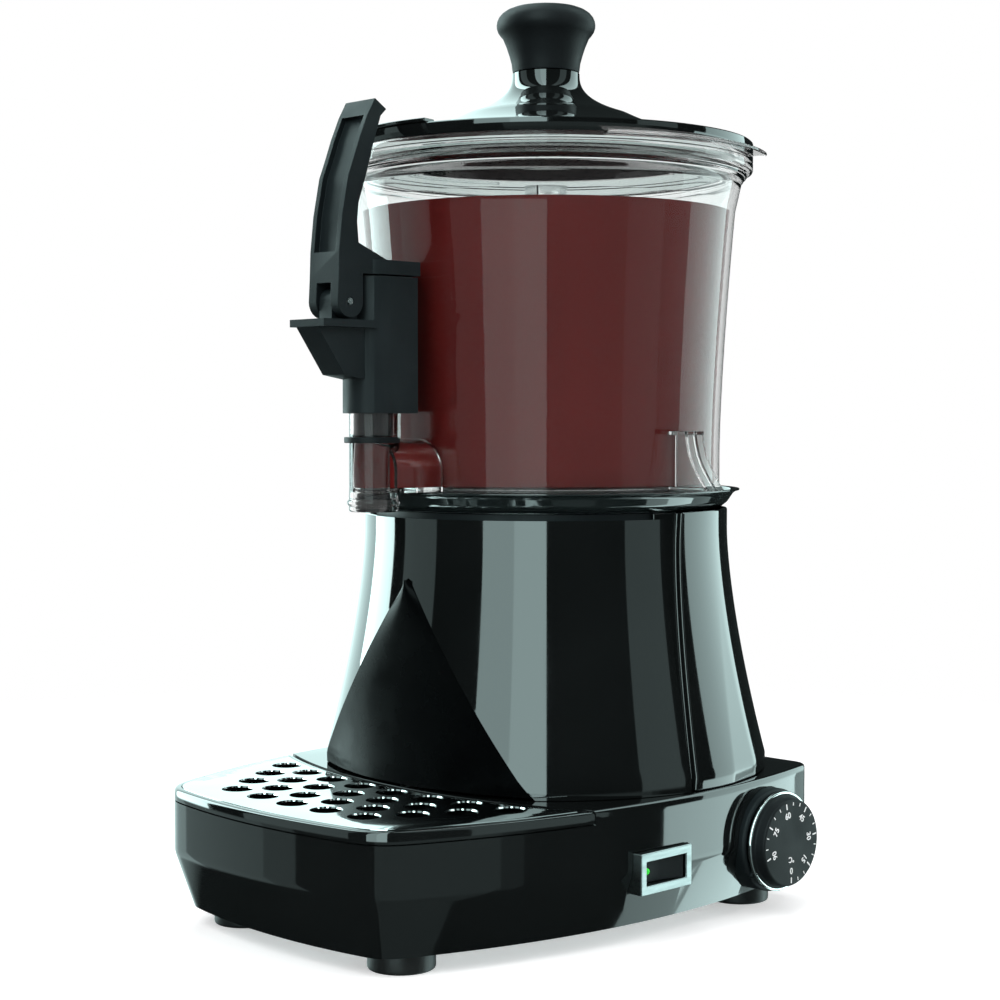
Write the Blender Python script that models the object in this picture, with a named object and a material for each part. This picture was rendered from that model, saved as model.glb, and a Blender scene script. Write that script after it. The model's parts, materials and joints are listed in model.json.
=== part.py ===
"""Hot chocolate dispenser: a clear bowl with a lever tap on a black column and base, with its inner works.

All lengths are metres. Every piece is modelled about the bowl's axis, with the front towards -Y,
and one parent empty puts the origin at the middle of the whole machine's footprint.
"""
import math

import bmesh
import bpy
from mathutils import Matrix, Vector

# Clearances that all pieces share
GAP = 0.0003
RUN_GAP = 0.0004
OVERRUN = 0.004

# Counts of facets
ROUND_STEPS = 40
INNER_STEPS = 28
SMALL_STEPS = 14
TINY_STEPS = 8

# Base housing
BASE_HALF_WIDTH = 0.116
BASE_FRONT = 0.192
BASE_BACK = 0.093
BASE_SIDE_RADIUS = 0.381
BASE_SIDE_MIDDLE = -0.016
BASE_FRONT_RADIUS = 0.330
BASE_FRONT_CORNER = 0.027
BASE_BACK_CORNER = 0.010
LEAST_CORNER = 0.0015
BASE_BOTTOM = 0.010
BASE_CREASE = 0.0375
BASE_TAPER = 0.0093
BASE_WALL_TOP = 0.0635
BASE_EDGE_INSET = 0.002
BASE_TOP = 0.0684
BASE_WALL = 0.0028
DECK_HOLE_RADIUS = 0.080

# Base plate and the posts that its screws bite into
PLATE_THICKNESS = 0.0015
POST_RADIUS = 0.0045
BACK_POST_TOP = 0.0215
BACK_POST_RIB_END = 0.0985
BACK_POST_RIB_TOP = 0.0165

# Feet and the screws that hold them, the plate and the housing together
FOOT_RADIUS = 0.0156
FRONT_FOOT_SIDE = 0.0575
FRONT_FOOT_Y = -0.151
BACK_FOOT_SIDE = 0.0809
BACK_FOOT_Y = 0.059
FOOT_SCREW_RADIUS = 0.0022
FOOT_SCREW_HEAD_RADIUS = 0.0045
FOOT_RECESS = 0.005
FOOT_SCREW_HEAD = 0.0025
FOOT_SCREW_REACH = 0.009

# Drip tray and grille
TRAY_BACK = 0.1053
TRAY_BACK_RADIUS = 0.260
TRAY_BAND = 0.006
TRAY_FLOOR = 0.0392
TRAY_WALL = 0.002
TRAY_EDGE = 0.0005
TRAY_TOP_DROP = 0.0004
POCKET_GAP = 0.0004
GRILLE_INSET = 0.0036
GRILLE_THICKNESS = 0.0015
HOLE_RADIUS = 0.00715
HOLE_PITCH = 0.0234
HOLE_ROW_FRONT = 0.1673
HOLE_ROW_PITCH = 0.0168
HOLE_ROW_BOW_RADIUS = 0.312
HOLE_COUNTS_BY_ROW = (5, 6, 7, 8)

# Column shells
COLUMN_TOP_RADIUS = 0.0937
COLUMN_FLARE = 0.0205
COLUMN_FLARE_START = 0.190
COLUMN_FLARE_HEIGHT = 0.117
COLUMN_FOOT_RADIUS = 0.1136
COLUMN_FLARE_POWER = 1.5
BACK_SHELL_TOP = 0.201
FRONT_SHELL_DROP = 0.003
FRONT_SHELL_TOP = BACK_SHELL_TOP - FRONT_SHELL_DROP
SHELL_WALL = 0.0025
FRONT_SHELL_EDGE_DEGREES = 82.3
RECESS_EDGE_TOP_DEGREES = 88.9
RECESS_EDGE_FOOT_DEGREES = 83.2
RECESS_LAP_DEGREES = 79.5
RECESS_DEPTH = 0.0031
RECESS_STEP_DEGREES = 0.6
COLUMN_BOSS_INSET = 0.0101
COLUMN_BOSS_RADIUS = 0.0045
COLUMN_BOSS_HEIGHT = 0.014
COLUMN_RIB_THICKNESS = 0.003
COLUMN_RIB_INSET = 0.0028
COLUMN_SCREW_RADIUS = 0.0017
COLUMN_SCREW_HEAD_RADIUS = 0.0036
COLUMN_SCREW_HEAD = 0.002
COLUMN_SCREW_LENGTH = 0.014
FRONT_BOSS_DEGREES = 58.0
BACK_BOSS_DEGREES = 118.0

# Front panel, a triangle let into the column
PANEL_TOP = 0.168
PANEL_FOOT = 0.0698
PANEL_PEAK = 0.1696
PANEL_SLOPE = 0.75
PANEL_TOP_Y = 0.0983
PANEL_MIDDLE_Y = 0.0997
PANEL_MIDDLE_Z = 0.120
PANEL_FOOT_Y = 0.1046
PANEL_THICKNESS = 0.0026
PANEL_BACK_CUT = 0.050

# Top collar, gutter ring, gasket and heated plate
COLLAR_RADIUS = COLUMN_TOP_RADIUS - RECESS_DEPTH - SHELL_WALL - RUN_GAP
COLLAR_WALL = 0.0031
COLLAR_INNER_RADIUS = COLLAR_RADIUS - COLLAR_WALL
COLLAR_HEIGHT = 0.012
GUTTER_FLOOR = 0.002
BOWL_WAIST_RADIUS = 0.0897
GUTTER_FOOT_RADIUS = BOWL_WAIST_RADIUS + GAP
GUTTER_FLARE = 0.0052
GUTTER_LIP_FLARE = 0.0048
GUTTER_NECK_RADIUS = GUTTER_FOOT_RADIUS + GUTTER_FLARE
GUTTER_LIP_RADIUS = GUTTER_NECK_RADIUS + GUTTER_LIP_FLARE
GUTTER_HEIGHT = 0.0097
GUTTER_WALL = 0.0018
HEATED_PLATE_RISE = 0.0116
HEATED_PLATE_TOP = BACK_SHELL_TOP + HEATED_PLATE_RISE
HEATED_PLATE_INSET = 0.0006
HEATED_PLATE_RADIUS = COLLAR_INNER_RADIUS - HEATED_PLATE_INSET
HEATED_PLATE_THICKNESS = 0.0015
HEATED_PLATE_SKIRT = 0.0145
GASKET_HEIGHT = 0.005
GASKET_LIFT = 0.0035

# Bowl
BOWL_FLARE = 0.0074
BOWL_STRAIGHT = 0.029
BOWL_FLARE_START = BACK_SHELL_TOP + BOWL_STRAIGHT
BOWL_FLARE_HEIGHT = 0.1216
BOWL_FLARE_POWER = 1.45
BOWL_WALL = 0.0028
BOWL_SHOULDER_OUT = 0.0034
BOWL_SHOULDER_RISE = 0.0152
BOWL_RIM_OUT = 0.0056
BOWL_RIM_RISE = 0.0048
BOWL_RIM_HEIGHT = 0.0083
BOWL_SHOULDER_RADIUS = BOWL_WAIST_RADIUS + BOWL_FLARE + BOWL_SHOULDER_OUT
BOWL_SHOULDER_Z = BOWL_FLARE_START + BOWL_FLARE_HEIGHT + BOWL_SHOULDER_RISE
BOWL_RIM_RADIUS = BOWL_SHOULDER_RADIUS + BOWL_RIM_OUT
BOWL_RIM_START = BOWL_SHOULDER_Z + BOWL_RIM_RISE
BOWL_RIM_TOP = BOWL_RIM_START + BOWL_RIM_HEIGHT
LIP_REACH = 0.0079
LIP_RADIUS = BOWL_RIM_RADIUS + LIP_REACH
LIP_THICKNESS = 0.002
LIP_HALF_DEGREES = 31.0
LUG_TOP_OUT = 0.0113
LUG_MIDDLE_OUT = 0.0138
LUG_KNEE_OUT = 0.0193
LUG_FOOT_OUT = 0.0248
LUG_TOP_RISE = 0.0395
LUG_MIDDLE_RISE = 0.028
LUG_KNEE_RISE = 0.018
LUG_FOOT_RISE = 0.011
LUG_HALF_WIDTH = 0.006
LUG_WALL = 0.0020

# Outlet duct and tap tube, in one moulding with the bowl
TAP_REACH = 0.0278
TAP_Y = -(BOWL_WAIST_RADIUS + TAP_REACH)
TUBE_RADIUS = 0.0116
TUBE_BORE_RADIUS = 0.0099
TUBE_RISE = 0.001
TUBE_FOOT = BACK_SHELL_TOP + TUBE_RISE
TUBE_LAP = 0.017
SEAT_RADIUS = 0.0118
SEAT_BORE_RADIUS = 0.00905
SEAT_HEIGHT = 0.0112
SEAT_TOP = TUBE_FOOT + SEAT_HEIGHT
DUCT_HALF_WIDTH = 0.0172
DUCT_RISE = 0.0093
DUCT_HEIGHT = 0.0257
DUCT_FOOT = TUBE_FOOT + DUCT_RISE
DUCT_TOP = DUCT_FOOT + DUCT_HEIGHT
DUCT_WALL = 0.0022

# Tap housing
HOUSING_RADIUS = 0.0146
HOUSING_REACH_BACK = 0.0155
HOUSING_BACK = TAP_Y + HOUSING_REACH_BACK
TUBE_RING_RADIUS = 0.014
TUBE_RING_LAP = 0.0021
TUBE_RING_HEIGHT = 0.0028
TUBE_RING_FOOT = DUCT_TOP - TUBE_RING_LAP
TUBE_RING_TOP = TUBE_RING_FOOT + TUBE_RING_HEIGHT
HOUSING_CLEARANCE = 0.0113
HOUSING_HEIGHT = 0.0645
HOUSING_FOOT = TUBE_RING_TOP + HOUSING_CLEARANCE
HOUSING_TOP = HOUSING_FOOT + HOUSING_HEIGHT
TUBE_TOP = HOUSING_FOOT + TUBE_LAP
HOUSING_BORE_GAP = 0.0004
HOUSING_ROOF = 0.0135
SHELF_DROP = 0.021
SHELF_TOP = HOUSING_TOP - SHELF_DROP
SHELF_THICKNESS = 0.0035
SHELF_REACH = 0.0405
SHELF_FRONT = TAP_Y - SHELF_REACH
SHELF_HALF_WIDTH = 0.0125
GUSSET_HEIGHT = 0.022
GUSSET_FOOT = SHELF_TOP - SHELF_THICKNESS - GUSSET_HEIGHT
GUSSET_REACH = 0.0245
GUSSET_FRONT = TAP_Y - GUSSET_REACH
GUSSET_HALF_WIDTH = 0.008
TONGUE_HALF_WIDTH = 0.0045
TONGUE_RADIUS = 0.0062

# Lever
LEVER_PIVOT_REACH = 0.023
LEVER_PIVOT_RISE = 0.0085
LEVER_HEIGHT = 0.0955
LEVER_PIVOT_Y = TAP_Y - LEVER_PIVOT_REACH
LEVER_PIVOT_Z = SHELF_TOP + LEVER_PIVOT_RISE
LEVER_TOP = LEVER_PIVOT_Z + LEVER_HEIGHT
LEVER_HALF_WIDTH = 0.01075
LEVER_EAR_RADIUS = 0.0077
LEVER_REACH = 0.0233
LEVER_SLOT_GAP = 0.0006
LEVER_SLOT_RISE = 0.0085
ARM_CLEARANCE = 0.0007
ARM_HEIGHT = 0.0068
ARM_FOOT = HOUSING_TOP + ARM_CLEARANCE
ARM_TOP = ARM_FOOT + ARM_HEIGHT
ARM_REACH_BACK = 0.0175
ARM_BACK = TAP_Y + ARM_REACH_BACK
ARM_RADIUS = 0.0144
ARM_LEDGE = 0.001
ARM_ROOF = 0.0018
ARM_SLOT_REACH = 0.004
ARM_SLOT_REACH_BACK = 0.0135
ARM_SLOT_FRONT = TAP_Y - ARM_SLOT_REACH
ARM_SLOT_BACK = TAP_Y + ARM_SLOT_REACH_BACK
ARM_SLOT_HALF_WIDTH = 0.0034
ARM_PIN_HALF_WIDTH = 0.0078
GROOVE_DEPTH = 0.003
GROOVE_HALF_WIDTH = 0.0078
GROOVE_RISE = 0.023
GROOVE_DROP = 0.0075
GROOVE_FOOT = LEVER_PIVOT_Z + GROOVE_RISE
GROOVE_TOP = LEVER_TOP - GROOVE_DROP
LEVER_PIN_RADIUS = 0.0016

# Outline of the lever seen from the side: forward reach as a share of LEVER_REACH from the lever's tip,
# and height above the pivot as a share of the lever's height above it
LEVER_FRONT_SHARES = ((0.0, 1.0), (0.2, 0.915), (0.4, 0.805), (0.56, 0.700),
                      (0.71, 0.607), (0.865, 0.419), (0.945, 0.241), (0.965, 0.110))
LEVER_BACK_SHARES = ((0.5, 0.187), (0.440, 0.2880), (0.475, 0.3874), (0.44, 0.4817), (0.255, 0.6073),
                     (0.0644, 0.7644), (-0.15, 0.9173), (-0.30, 0.953))

# Piston and its small parts
PISTON_RADIUS = 0.0095
PISTON_DROP = 0.011
PISTON_HEIGHT = 0.024
PISTON_FOOT = HOUSING_FOOT - PISTON_DROP
PISTON_TOP = PISTON_FOOT + PISTON_HEIGHT
ROD_RADIUS = 0.0025
STEM_RADIUS = 0.0035
PISTON_HEAD_RADIUS = 0.0080
PISTON_HEAD_RISE = 0.0004
PISTON_HEAD_HEIGHT = 0.0078
PISTON_HEAD_FOOT = TUBE_FOOT + PISTON_HEAD_RISE
PISTON_HEAD_TOP = PISTON_HEAD_FOOT + PISTON_HEAD_HEIGHT
ORING_RADIUS = 0.00875
ORING_RISE = 0.0014
ORING_HEIGHT = 0.004
ORING_FOOT = PISTON_HEAD_FOOT + ORING_RISE
ORING_TOP = ORING_FOOT + ORING_HEIGHT
ORING_GROOVE = 0.0018
CROSS_PIN_RISE = 0.003
CROSS_PIN_Z = ARM_FOOT + CROSS_PIN_RISE
CROSS_PIN_RADIUS = 0.0012
CROSS_PIN_HALF_LENGTH = 0.0070
ROD_ABOVE_PIN = 0.0009
SPRING_RADIUS = 0.0068
SPRING_WIRE_RADIUS = 0.0006
SPRING_TURNS = 5
SPRING_POINTS_PER_TURN = 9

# Lid and knob
LID_BRIM_HEIGHT = 0.0065
LID_SLOPE_HEIGHT = 0.0156
LID_NECK_HEIGHT = 0.0216
LID_BRIM_TOP = BOWL_RIM_TOP + LID_BRIM_HEIGHT
LID_SHOULDER_Z = LID_BRIM_TOP + LID_SLOPE_HEIGHT
LID_NECK_TOP = LID_SHOULDER_Z + LID_NECK_HEIGHT
LID_SHOULDER_RADIUS = 0.0432
LID_NECK_RADIUS = 0.0173
LID_WALL = 0.0025
LID_FLARE_POWER = 2.6
LID_SPIGOT_GAP = 0.0012
LID_SPIGOT_RADIUS = BOWL_SHOULDER_RADIUS - BOWL_WALL - LID_SPIGOT_GAP
LID_SPIGOT_DEPTH = 0.009
KNOB_WAIST_RADIUS = 0.0222
KNOB_WAIST_HEIGHT = 0.0192
KNOB_WAIST_Z = LID_NECK_TOP + KNOB_WAIST_HEIGHT
KNOB_BULB_RADIUS = 0.0254
KNOB_FLARE_HEIGHT = 0.0052
KNOB_BULB_Z = KNOB_WAIST_Z + KNOB_FLARE_HEIGHT
KNOB_DOME_HEIGHT = 0.010
KNOB_TOP = KNOB_BULB_Z + KNOB_DOME_HEIGHT
KNOB_SCREW_RADIUS = 0.003
KNOB_SCREW_HEAD_RADIUS = 0.006
KNOB_SCREW_HEAD = 0.003
KNOB_SCREW_DEPTH = 0.018

# Water tank, element and cut-out
TANK_RADIUS = 0.080
TANK_WALL = 0.0012
TANK_DROP = 0.0151
TANK_HEIGHT = 0.0872
TANK_TOP = HEATED_PLATE_TOP - TANK_DROP
TANK_FOOT = TANK_TOP - TANK_HEIGHT
TANK_FLANGE_RADIUS = 0.0825
TANK_TUBE_RADIUS = 0.0092
ELEMENT_RADIUS = 0.052
ELEMENT_TUBE_RADIUS = 0.0038
ELEMENT_LIFT = 0.012
ELEMENT_OPEN_DEGREES = 30.0
ELEMENT_LEG_DROP = 0.008
CUTOUT_RADIUS = 0.008
CUTOUT_DEPTH = 0.006
CUTOUT_RISE = 0.0397
CUTOUT_Z = TANK_FOOT + CUTOUT_RISE

# Motor, bracket and drive
BRACKET_RADIUS = 0.074
BRACKET_THICKNESS = 0.0025
BRACKET_LEG_WIDTH = 0.016
BRACKET_LEG_FOOT = 0.012
BRACKET_LEG_OUT = 0.094
BRACKET_LEGS = 3
BRACKET_BORE_RADIUS = 0.012
GEARBOX_RADIUS = 0.030
GEARBOX_HEIGHT = 0.018
MOTOR_RADIUS = 0.024
MOTOR_HEIGHT = 0.020
MOTOR_HUB_RADIUS = 0.0075
MOTOR_HUB_HEIGHT = 0.0018
MOTOR_SOCKET_DEPTH = 0.010
MOTOR_SCREW_RADIUS = 0.0017
MOTOR_SCREW_HEAD_RADIUS = 0.0034
MOTOR_SCREW_HEAD = 0.0012
MOTOR_SCREW_LENGTH = 0.009
MOTOR_SCREW_CIRCLE = 0.024
SHAFT_RADIUS = 0.004
CENTRE_TUBE_RADIUS = 0.0070
CENTRE_TUBE_BORE = 0.0058
CENTRE_TUBE_RISE = 0.002
CENTRE_TUBE_HEIGHT = 0.1385
CENTRE_TUBE_FOOT = TANK_TOP + CENTRE_TUBE_RISE
CENTRE_TUBE_TOP = CENTRE_TUBE_FOOT + CENTRE_TUBE_HEIGHT
BUSH_HEIGHT = 0.008

# Stirrer, one moulding
SLEEVE_RADIUS = 0.011
SLEEVE_BORE = 0.0078
SLEEVE_RISE = 0.0019
SLEEVE_FOOT = HEATED_PLATE_TOP + SLEEVE_RISE
SLEEVE_SOCKET_RISE = 0.003
SLEEVE_SOCKET_FOOT = CENTRE_TUBE_TOP + SLEEVE_SOCKET_RISE
SHAFT_GRIP = 0.011
SHAFT_TOP = SLEEVE_SOCKET_FOOT + SHAFT_GRIP
SLEEVE_ABOVE_SHAFT = 0.014
SLEEVE_TOP = SHAFT_TOP + SLEEVE_ABOVE_SHAFT
PADDLE_REACH = 0.078
PADDLE_THICKNESS = 0.003
PADDLE_HEIGHT = 0.012
BLADE_INNER = 0.066
BLADE_HEIGHT = 0.060
PADDLES = 2

# Rocker switch in the right side wall
SWITCH_Y = -0.04005
SWITCH_Z = 0.03625
SWITCH_LENGTH = 0.0355
SWITCH_HEIGHT = 0.0195
SWITCH_FACE = 0.1186
SWITCH_DEPTH = 0.022
SWITCH_OPEN_LENGTH = 0.0278
SWITCH_OPEN_HEIGHT = 0.0112
ROCKER_PIVOT_X = 0.1122
ROCKER_HALF_LENGTH = 0.0126
ROCKER_HALF_HEIGHT = 0.0052
ROCKER_END_FACE = 0.0042
ROCKER_MIDDLE_FACE = 0.0028
ROCKER_END_BACK = 0.0020
ROCKER_MIDDLE_BACK = 0.0035
ROCKER_REST_DEGREES = -9.0
LAMP_RADIUS = 0.0016
LAMP_OUT = 0.0088
LAMP_LENGTH = 0.0018
LAMP_PROUD = 0.0002
SWITCH_BODY_DEPTH = 0.016

# Thermostat in the right side wall
THERMOSTAT_Y = 0.0435
THERMOSTAT_Z = 0.0378
BEZEL_RADIUS = 0.0255
BEZEL_BACK = 0.098
BEZEL_FACE = 0.1178
BEZEL_WALL = 0.002
BEZEL_RECESS = 0.004
DIAL_FACE = 0.1272
DIAL_RADIUS = 0.0212
KNOB_SKIRT_FACE = 0.1182
KNOB_RING_FOOT = 0.1192
KNOB_RING_FACE = 0.1212
KNOB_RING_RADIUS = 0.0247
KNOB_GRIP_RADIUS = 0.0225
SPINDLE_RADIUS = 0.003
SPINDLE_REACH = 0.008
THERMOSTAT_BODY_DEPTH = 0.026
THERMOSTAT_BODY_HALF = 0.0145

# Cord gland and terminal block at the back
GLAND_X = -0.060
GLAND_Z = 0.030
GLAND_RADIUS = 0.0065
GLAND_BORE_RADIUS = 0.0036
GLAND_FLANGE_RADIUS = 0.009
GLAND_FLANGE = 0.0025
GLAND_DEPTH = 0.016
TERMINAL_X = -0.052
TERMINAL_Y = 0.040
TERMINAL_LENGTH = 0.036
TERMINAL_WIDTH = 0.018
TERMINAL_HEIGHT = 0.014
TERMINAL_BOSS = 0.003

MACHINE_BACK = BOWL_RIM_RADIUS
MACHINE_SHIFT = Vector(((BASE_HALF_WIDTH - DIAL_FACE) / 2, (BASE_FRONT - MACHINE_BACK) / 2, 0))


def clear_scene():
    for old in list(bpy.data.objects):
        bpy.data.objects.remove(old, do_unlink=True)


def make_material(name, colour, roughness, metallic=0.0, alpha=1.0):
    made = bpy.data.materials.new(name)
    made.use_nodes = True
    shader = made.node_tree.nodes["Principled BSDF"]
    shader.inputs["Base Color"].default_value = (*colour, 1.0)
    shader.inputs["Roughness"].default_value = roughness
    shader.inputs["Metallic"].default_value = metallic
    shader.inputs["Alpha"].default_value = alpha
    return made


def finish_mesh(maker):
    """Turn a bmesh into a mesh whose faces point out."""
    bmesh.ops.recalc_face_normals(maker, faces=maker.faces)
    made = bpy.data.meshes.new("shape")
    maker.to_mesh(made)
    maker.free()
    return made


def add_loft(maker, loops):
    """Bridge closed loops of equal length and cap both ends."""
    rows = [[maker.verts.new(point) for point in loop] for loop in loops]
    count = len(rows[0])
    for lower, upper in zip(rows, rows[1:]):
        for i in range(count):
            j = (i + 1) % count
            maker.faces.new((lower[i], lower[j], upper[j], upper[i]))
    maker.faces.new(rows[0])
    maker.faces.new(rows[-1])


def loft(loops):
    maker = bmesh.new()
    add_loft(maker, loops)
    return finish_mesh(maker)


def loft_rings(rings):
    """A loft of flat outlines, each given with its height."""
    return loft([[Vector((x, y, z)) for x, y in outline] for outline, z in rings])


def prism(outline, low, high, axis="z"):
    """Extrude a flat outline along an axis; along x it lies in (y, z), along y in (x, z)."""
    def point(a, b, depth):
        if axis == "x":
            return Vector((depth, a, b))
        if axis == "y":
            return Vector((a, depth, b))
        return Vector((a, b, depth))
    return loft([[point(a, b, depth) for a, b in outline] for depth in (low, high)])


def box(x_range, y_range, z_range):
    corners = ((x_range[0], y_range[0]), (x_range[1], y_range[0]),
               (x_range[1], y_range[1]), (x_range[0], y_range[1]))
    return prism(corners, z_range[0], z_range[1])


def add_turned(maker, profile, steps, centre=(0.0, 0.0, 0.0), axis="z"):
    """Turn a closed profile of (radius, height) points about an axis through the centre."""
    base = Vector(centre)

    def point(radius, height, angle):
        a = radius * math.cos(angle)
        b = radius * math.sin(angle)
        if axis == "x":
            return base + Vector((height, a, b))
        if axis == "y":
            return base + Vector((a, height, b))
        return base + Vector((a, b, height))

    rows = []
    for radius, height in profile:
        if radius == 0:
            rows.append([maker.verts.new(point(0, height, 0))])
        else:
            rows.append([maker.verts.new(point(radius, height, 2 * math.pi * i / steps))
                         for i in range(steps)])
    for k, row in enumerate(rows):
        after = rows[(k + 1) % len(rows)]
        for i in range(steps):
            j = (i + 1) % steps
            if len(row) == 1 and len(after) == 1:
                break
            if len(row) == 1:
                maker.faces.new((row[0], after[i], after[j]))
            elif len(after) == 1:
                maker.faces.new((row[i], row[j], after[0]))
            else:
                maker.faces.new((row[i], row[j], after[j], after[i]))


def turned(profile, steps=ROUND_STEPS, centre=(0.0, 0.0, 0.0), axis="z"):
    maker = bmesh.new()
    add_turned(maker, profile, steps, centre, axis)
    return finish_mesh(maker)


def rod(radius, low, high, centre=(0.0, 0.0, 0.0), axis="z", steps=SMALL_STEPS):
    return turned(((0, low), (radius, low), (radius, high), (0, high)), steps, centre, axis)


def ring(inner, outer, low, high, centre=(0.0, 0.0, 0.0), axis="z", steps=SMALL_STEPS):
    return turned(((inner, low), (outer, low), (outer, high), (inner, high)), steps, centre, axis)


def screw_profile(head_radius, radius, head_low, head_high, tip):
    """A round head with a plain shank that runs from it to the tip."""
    start = head_high if tip > head_high else head_low
    far = head_low if tip > head_high else head_high
    return ((0, far), (head_radius, far), (head_radius, start), (radius, start), (radius, tip), (0, tip))


def many_turned(profile, centres, steps=TINY_STEPS, axis="z"):
    """The same turned piece at several places, as separate bodies of one mesh."""
    maker = bmesh.new()
    for centre in centres:
        add_turned(maker, profile, steps, centre, axis)
    return finish_mesh(maker)


def arc(centre, radius, start, end, steps):
    """Points along an arc, both ends included, angles in radians."""
    return [(centre[0] + radius * math.cos(start + (end - start) * i / steps),
             centre[1] + radius * math.sin(start + (end - start) * i / steps)) for i in range(steps + 1)]


def circles_meet(centre_a, radius_a, centre_b, radius_b, towards):
    """The crossing of two circles that lies further along a direction."""
    a = Vector(centre_a)
    b = Vector(centre_b)
    apart = (b - a).length
    along = (radius_a ** 2 - radius_b ** 2 + apart ** 2) / (2 * apart)
    across = math.sqrt(radius_a ** 2 - along ** 2)
    unit = (b - a) / apart
    side = Vector((-unit.y, unit.x))
    found = [a + unit * along + side * across, a + unit * along - side * across]
    return max(found, key=lambda point: point.dot(Vector(towards)))


def direction(centre, point):
    return math.atan2(point[1] - centre[1], point[0] - centre[0])


SIDE_CENTRE = (BASE_HALF_WIDTH - BASE_SIDE_RADIUS, BASE_SIDE_MIDDLE)
FRONT_CENTRE = (0.0, BASE_FRONT_RADIUS - BASE_FRONT)
TRAY_ARC_CENTRE = (0.0, TRAY_BACK_RADIUS - TRAY_BACK)


def mirrored(half):
    """Close a half outline that starts and ends on the middle line."""
    return half + [(-x, y) for x, y in reversed(half[1:-1])]


def front_half(inset):
    """From the middle of the front round the corner; returns the points and where the side arc starts."""
    corner = max(BASE_FRONT_CORNER - inset, LEAST_CORNER)
    middle = circles_meet(SIDE_CENTRE, BASE_SIDE_RADIUS - inset - corner,
                          FRONT_CENTRE, BASE_FRONT_RADIUS - inset - corner, (1, -1))
    front_end = direction(FRONT_CENTRE, middle)
    side_start = direction(SIDE_CENTRE, middle)
    points = arc(FRONT_CENTRE, BASE_FRONT_RADIUS - inset, -math.pi / 2, front_end, 5)
    points += arc(middle, corner, front_end, side_start, 6)[1:]
    return points, side_start


def back_half(inset, side_from, steps):
    """The side arc from an angle to the back corner, then to the middle of the back."""
    corner = max(BASE_BACK_CORNER - inset, LEAST_CORNER)
    back = BASE_BACK - inset
    middle_y = back - corner
    reach = BASE_SIDE_RADIUS - inset - corner
    rise = middle_y - SIDE_CENTRE[1]
    middle = (SIDE_CENTRE[0] + math.sqrt(reach ** 2 - rise ** 2), middle_y)
    side_end = direction(SIDE_CENTRE, middle)
    points = arc(SIDE_CENTRE, BASE_SIDE_RADIUS - inset, side_from, 0, steps)
    points += arc(SIDE_CENTRE, BASE_SIDE_RADIUS - inset, 0, side_end, 4)[1:]
    points += arc(middle, corner, side_end, math.pi / 2, 3)[1:]
    return points + [(0.0, back)]


def base_outline(inset):
    front, side_start = front_half(inset)
    return mirrored(front[:-1] + back_half(inset, side_start, 5))


def tray_arc_crossing(inset, offset):
    return circles_meet(SIDE_CENTRE, BASE_SIDE_RADIUS - inset,
                        TRAY_ARC_CENTRE, TRAY_BACK_RADIUS - offset, (1, 0))


def tray_arc(inset, offset):
    """The tray's curved back edge from the middle to the side; a positive offset moves it back."""
    crossing = tray_arc_crossing(inset, offset)
    end = direction(TRAY_ARC_CENTRE, crossing)
    return arc(TRAY_ARC_CENTRE, TRAY_BACK_RADIUS - offset, -math.pi / 2, end, 7)


def tray_outline(inset, offset):
    front, side_start = front_half(inset)
    side_end = direction(SIDE_CENTRE, tray_arc_crossing(inset, offset))
    side = arc(SIDE_CENTRE, BASE_SIDE_RADIUS - inset, side_start, side_end, 4)
    back = list(reversed(tray_arc(inset, offset)))
    return mirrored(front[:-1] + side[:-1] + back)


def rear_outline(inset, offset):
    crossing = tray_arc_crossing(inset, offset)
    side = back_half(inset, direction(SIDE_CENTRE, crossing), 4)
    return mirrored(tray_arc(inset, offset)[:-1] + side)


class Machine:
    """Holds the parent empty and adds pieces and their cuts under it."""

    def __init__(self):
        self.root = bpy.data.objects.new("machine", None)
        self.root.location = MACHINE_SHIFT
        bpy.context.collection.objects.link(self.root)
        self.tools = 0

    def link(self, name, mesh, origin):
        start = Vector(origin)
        mesh.transform(Matrix.Translation(-start))
        made = bpy.data.objects.new(name, mesh)
        made.parent = self.root
        made.location = start
        bpy.context.collection.objects.link(made)
        return made

    def add(self, name, mesh, colour, roughness, metallic=0.0, alpha=1.0, origin=(0, 0, 0), smooth=True):
        made = self.link(name, mesh, origin)
        mesh.materials.append(make_material(name + "_finish", colour, roughness, metallic, alpha))
        if smooth:
            mesh.shade_smooth()
            mesh.set_sharp_from_angle(angle=math.radians(35))
        return made

    def add_each(self, name, profile, places, labels, steps, colour, roughness, metallic=0.0):
        """The same turned piece at several places, each its own object with a shared mesh."""
        shared = None
        for place, label in zip(places, labels):
            if shared is None:
                shared = turned(profile, steps)
                piece = self.add(f"{name}_{label}", shared, colour, roughness, metallic)
            else:
                piece = self.link(f"{name}_{label}", shared, (0, 0, 0))
            piece.location = place

    def combine(self, target, mesh, operation):
        """Cut or join a helper shape, kept hidden beside the piece."""
        self.tools += 1
        tool = self.link(f"tool_{self.tools:02d}", mesh, (0, 0, 0))
        tool.hide_render = True
        tool.display_type = "WIRE"
        change = target.modifiers.new(tool.name, "BOOLEAN")
        change.operation = operation
        change.solver = "EXACT"
        change.object = tool

    def cut(self, target, *meshes):
        for mesh in meshes:
            self.combine(target, mesh, "DIFFERENCE")

    def join(self, target, *meshes):
        for mesh in meshes:
            self.combine(target, mesh, "UNION")


BLACK = (0.010, 0.012, 0.012)
MATT_BLACK = (0.022, 0.026, 0.027)
STEEL = (0.62, 0.63, 0.62)
CLEAR = (0.92, 0.95, 0.94)
GREY = (0.18, 0.19, 0.19)
BRASS = (0.72, 0.55, 0.25)
TEAL_BLACK = (0.09, 0.12, 0.12)
LAMP_GREEN = (0.05, 0.80, 0.10)
OFF_WHITE = (0.75, 0.74, 0.70)


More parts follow.
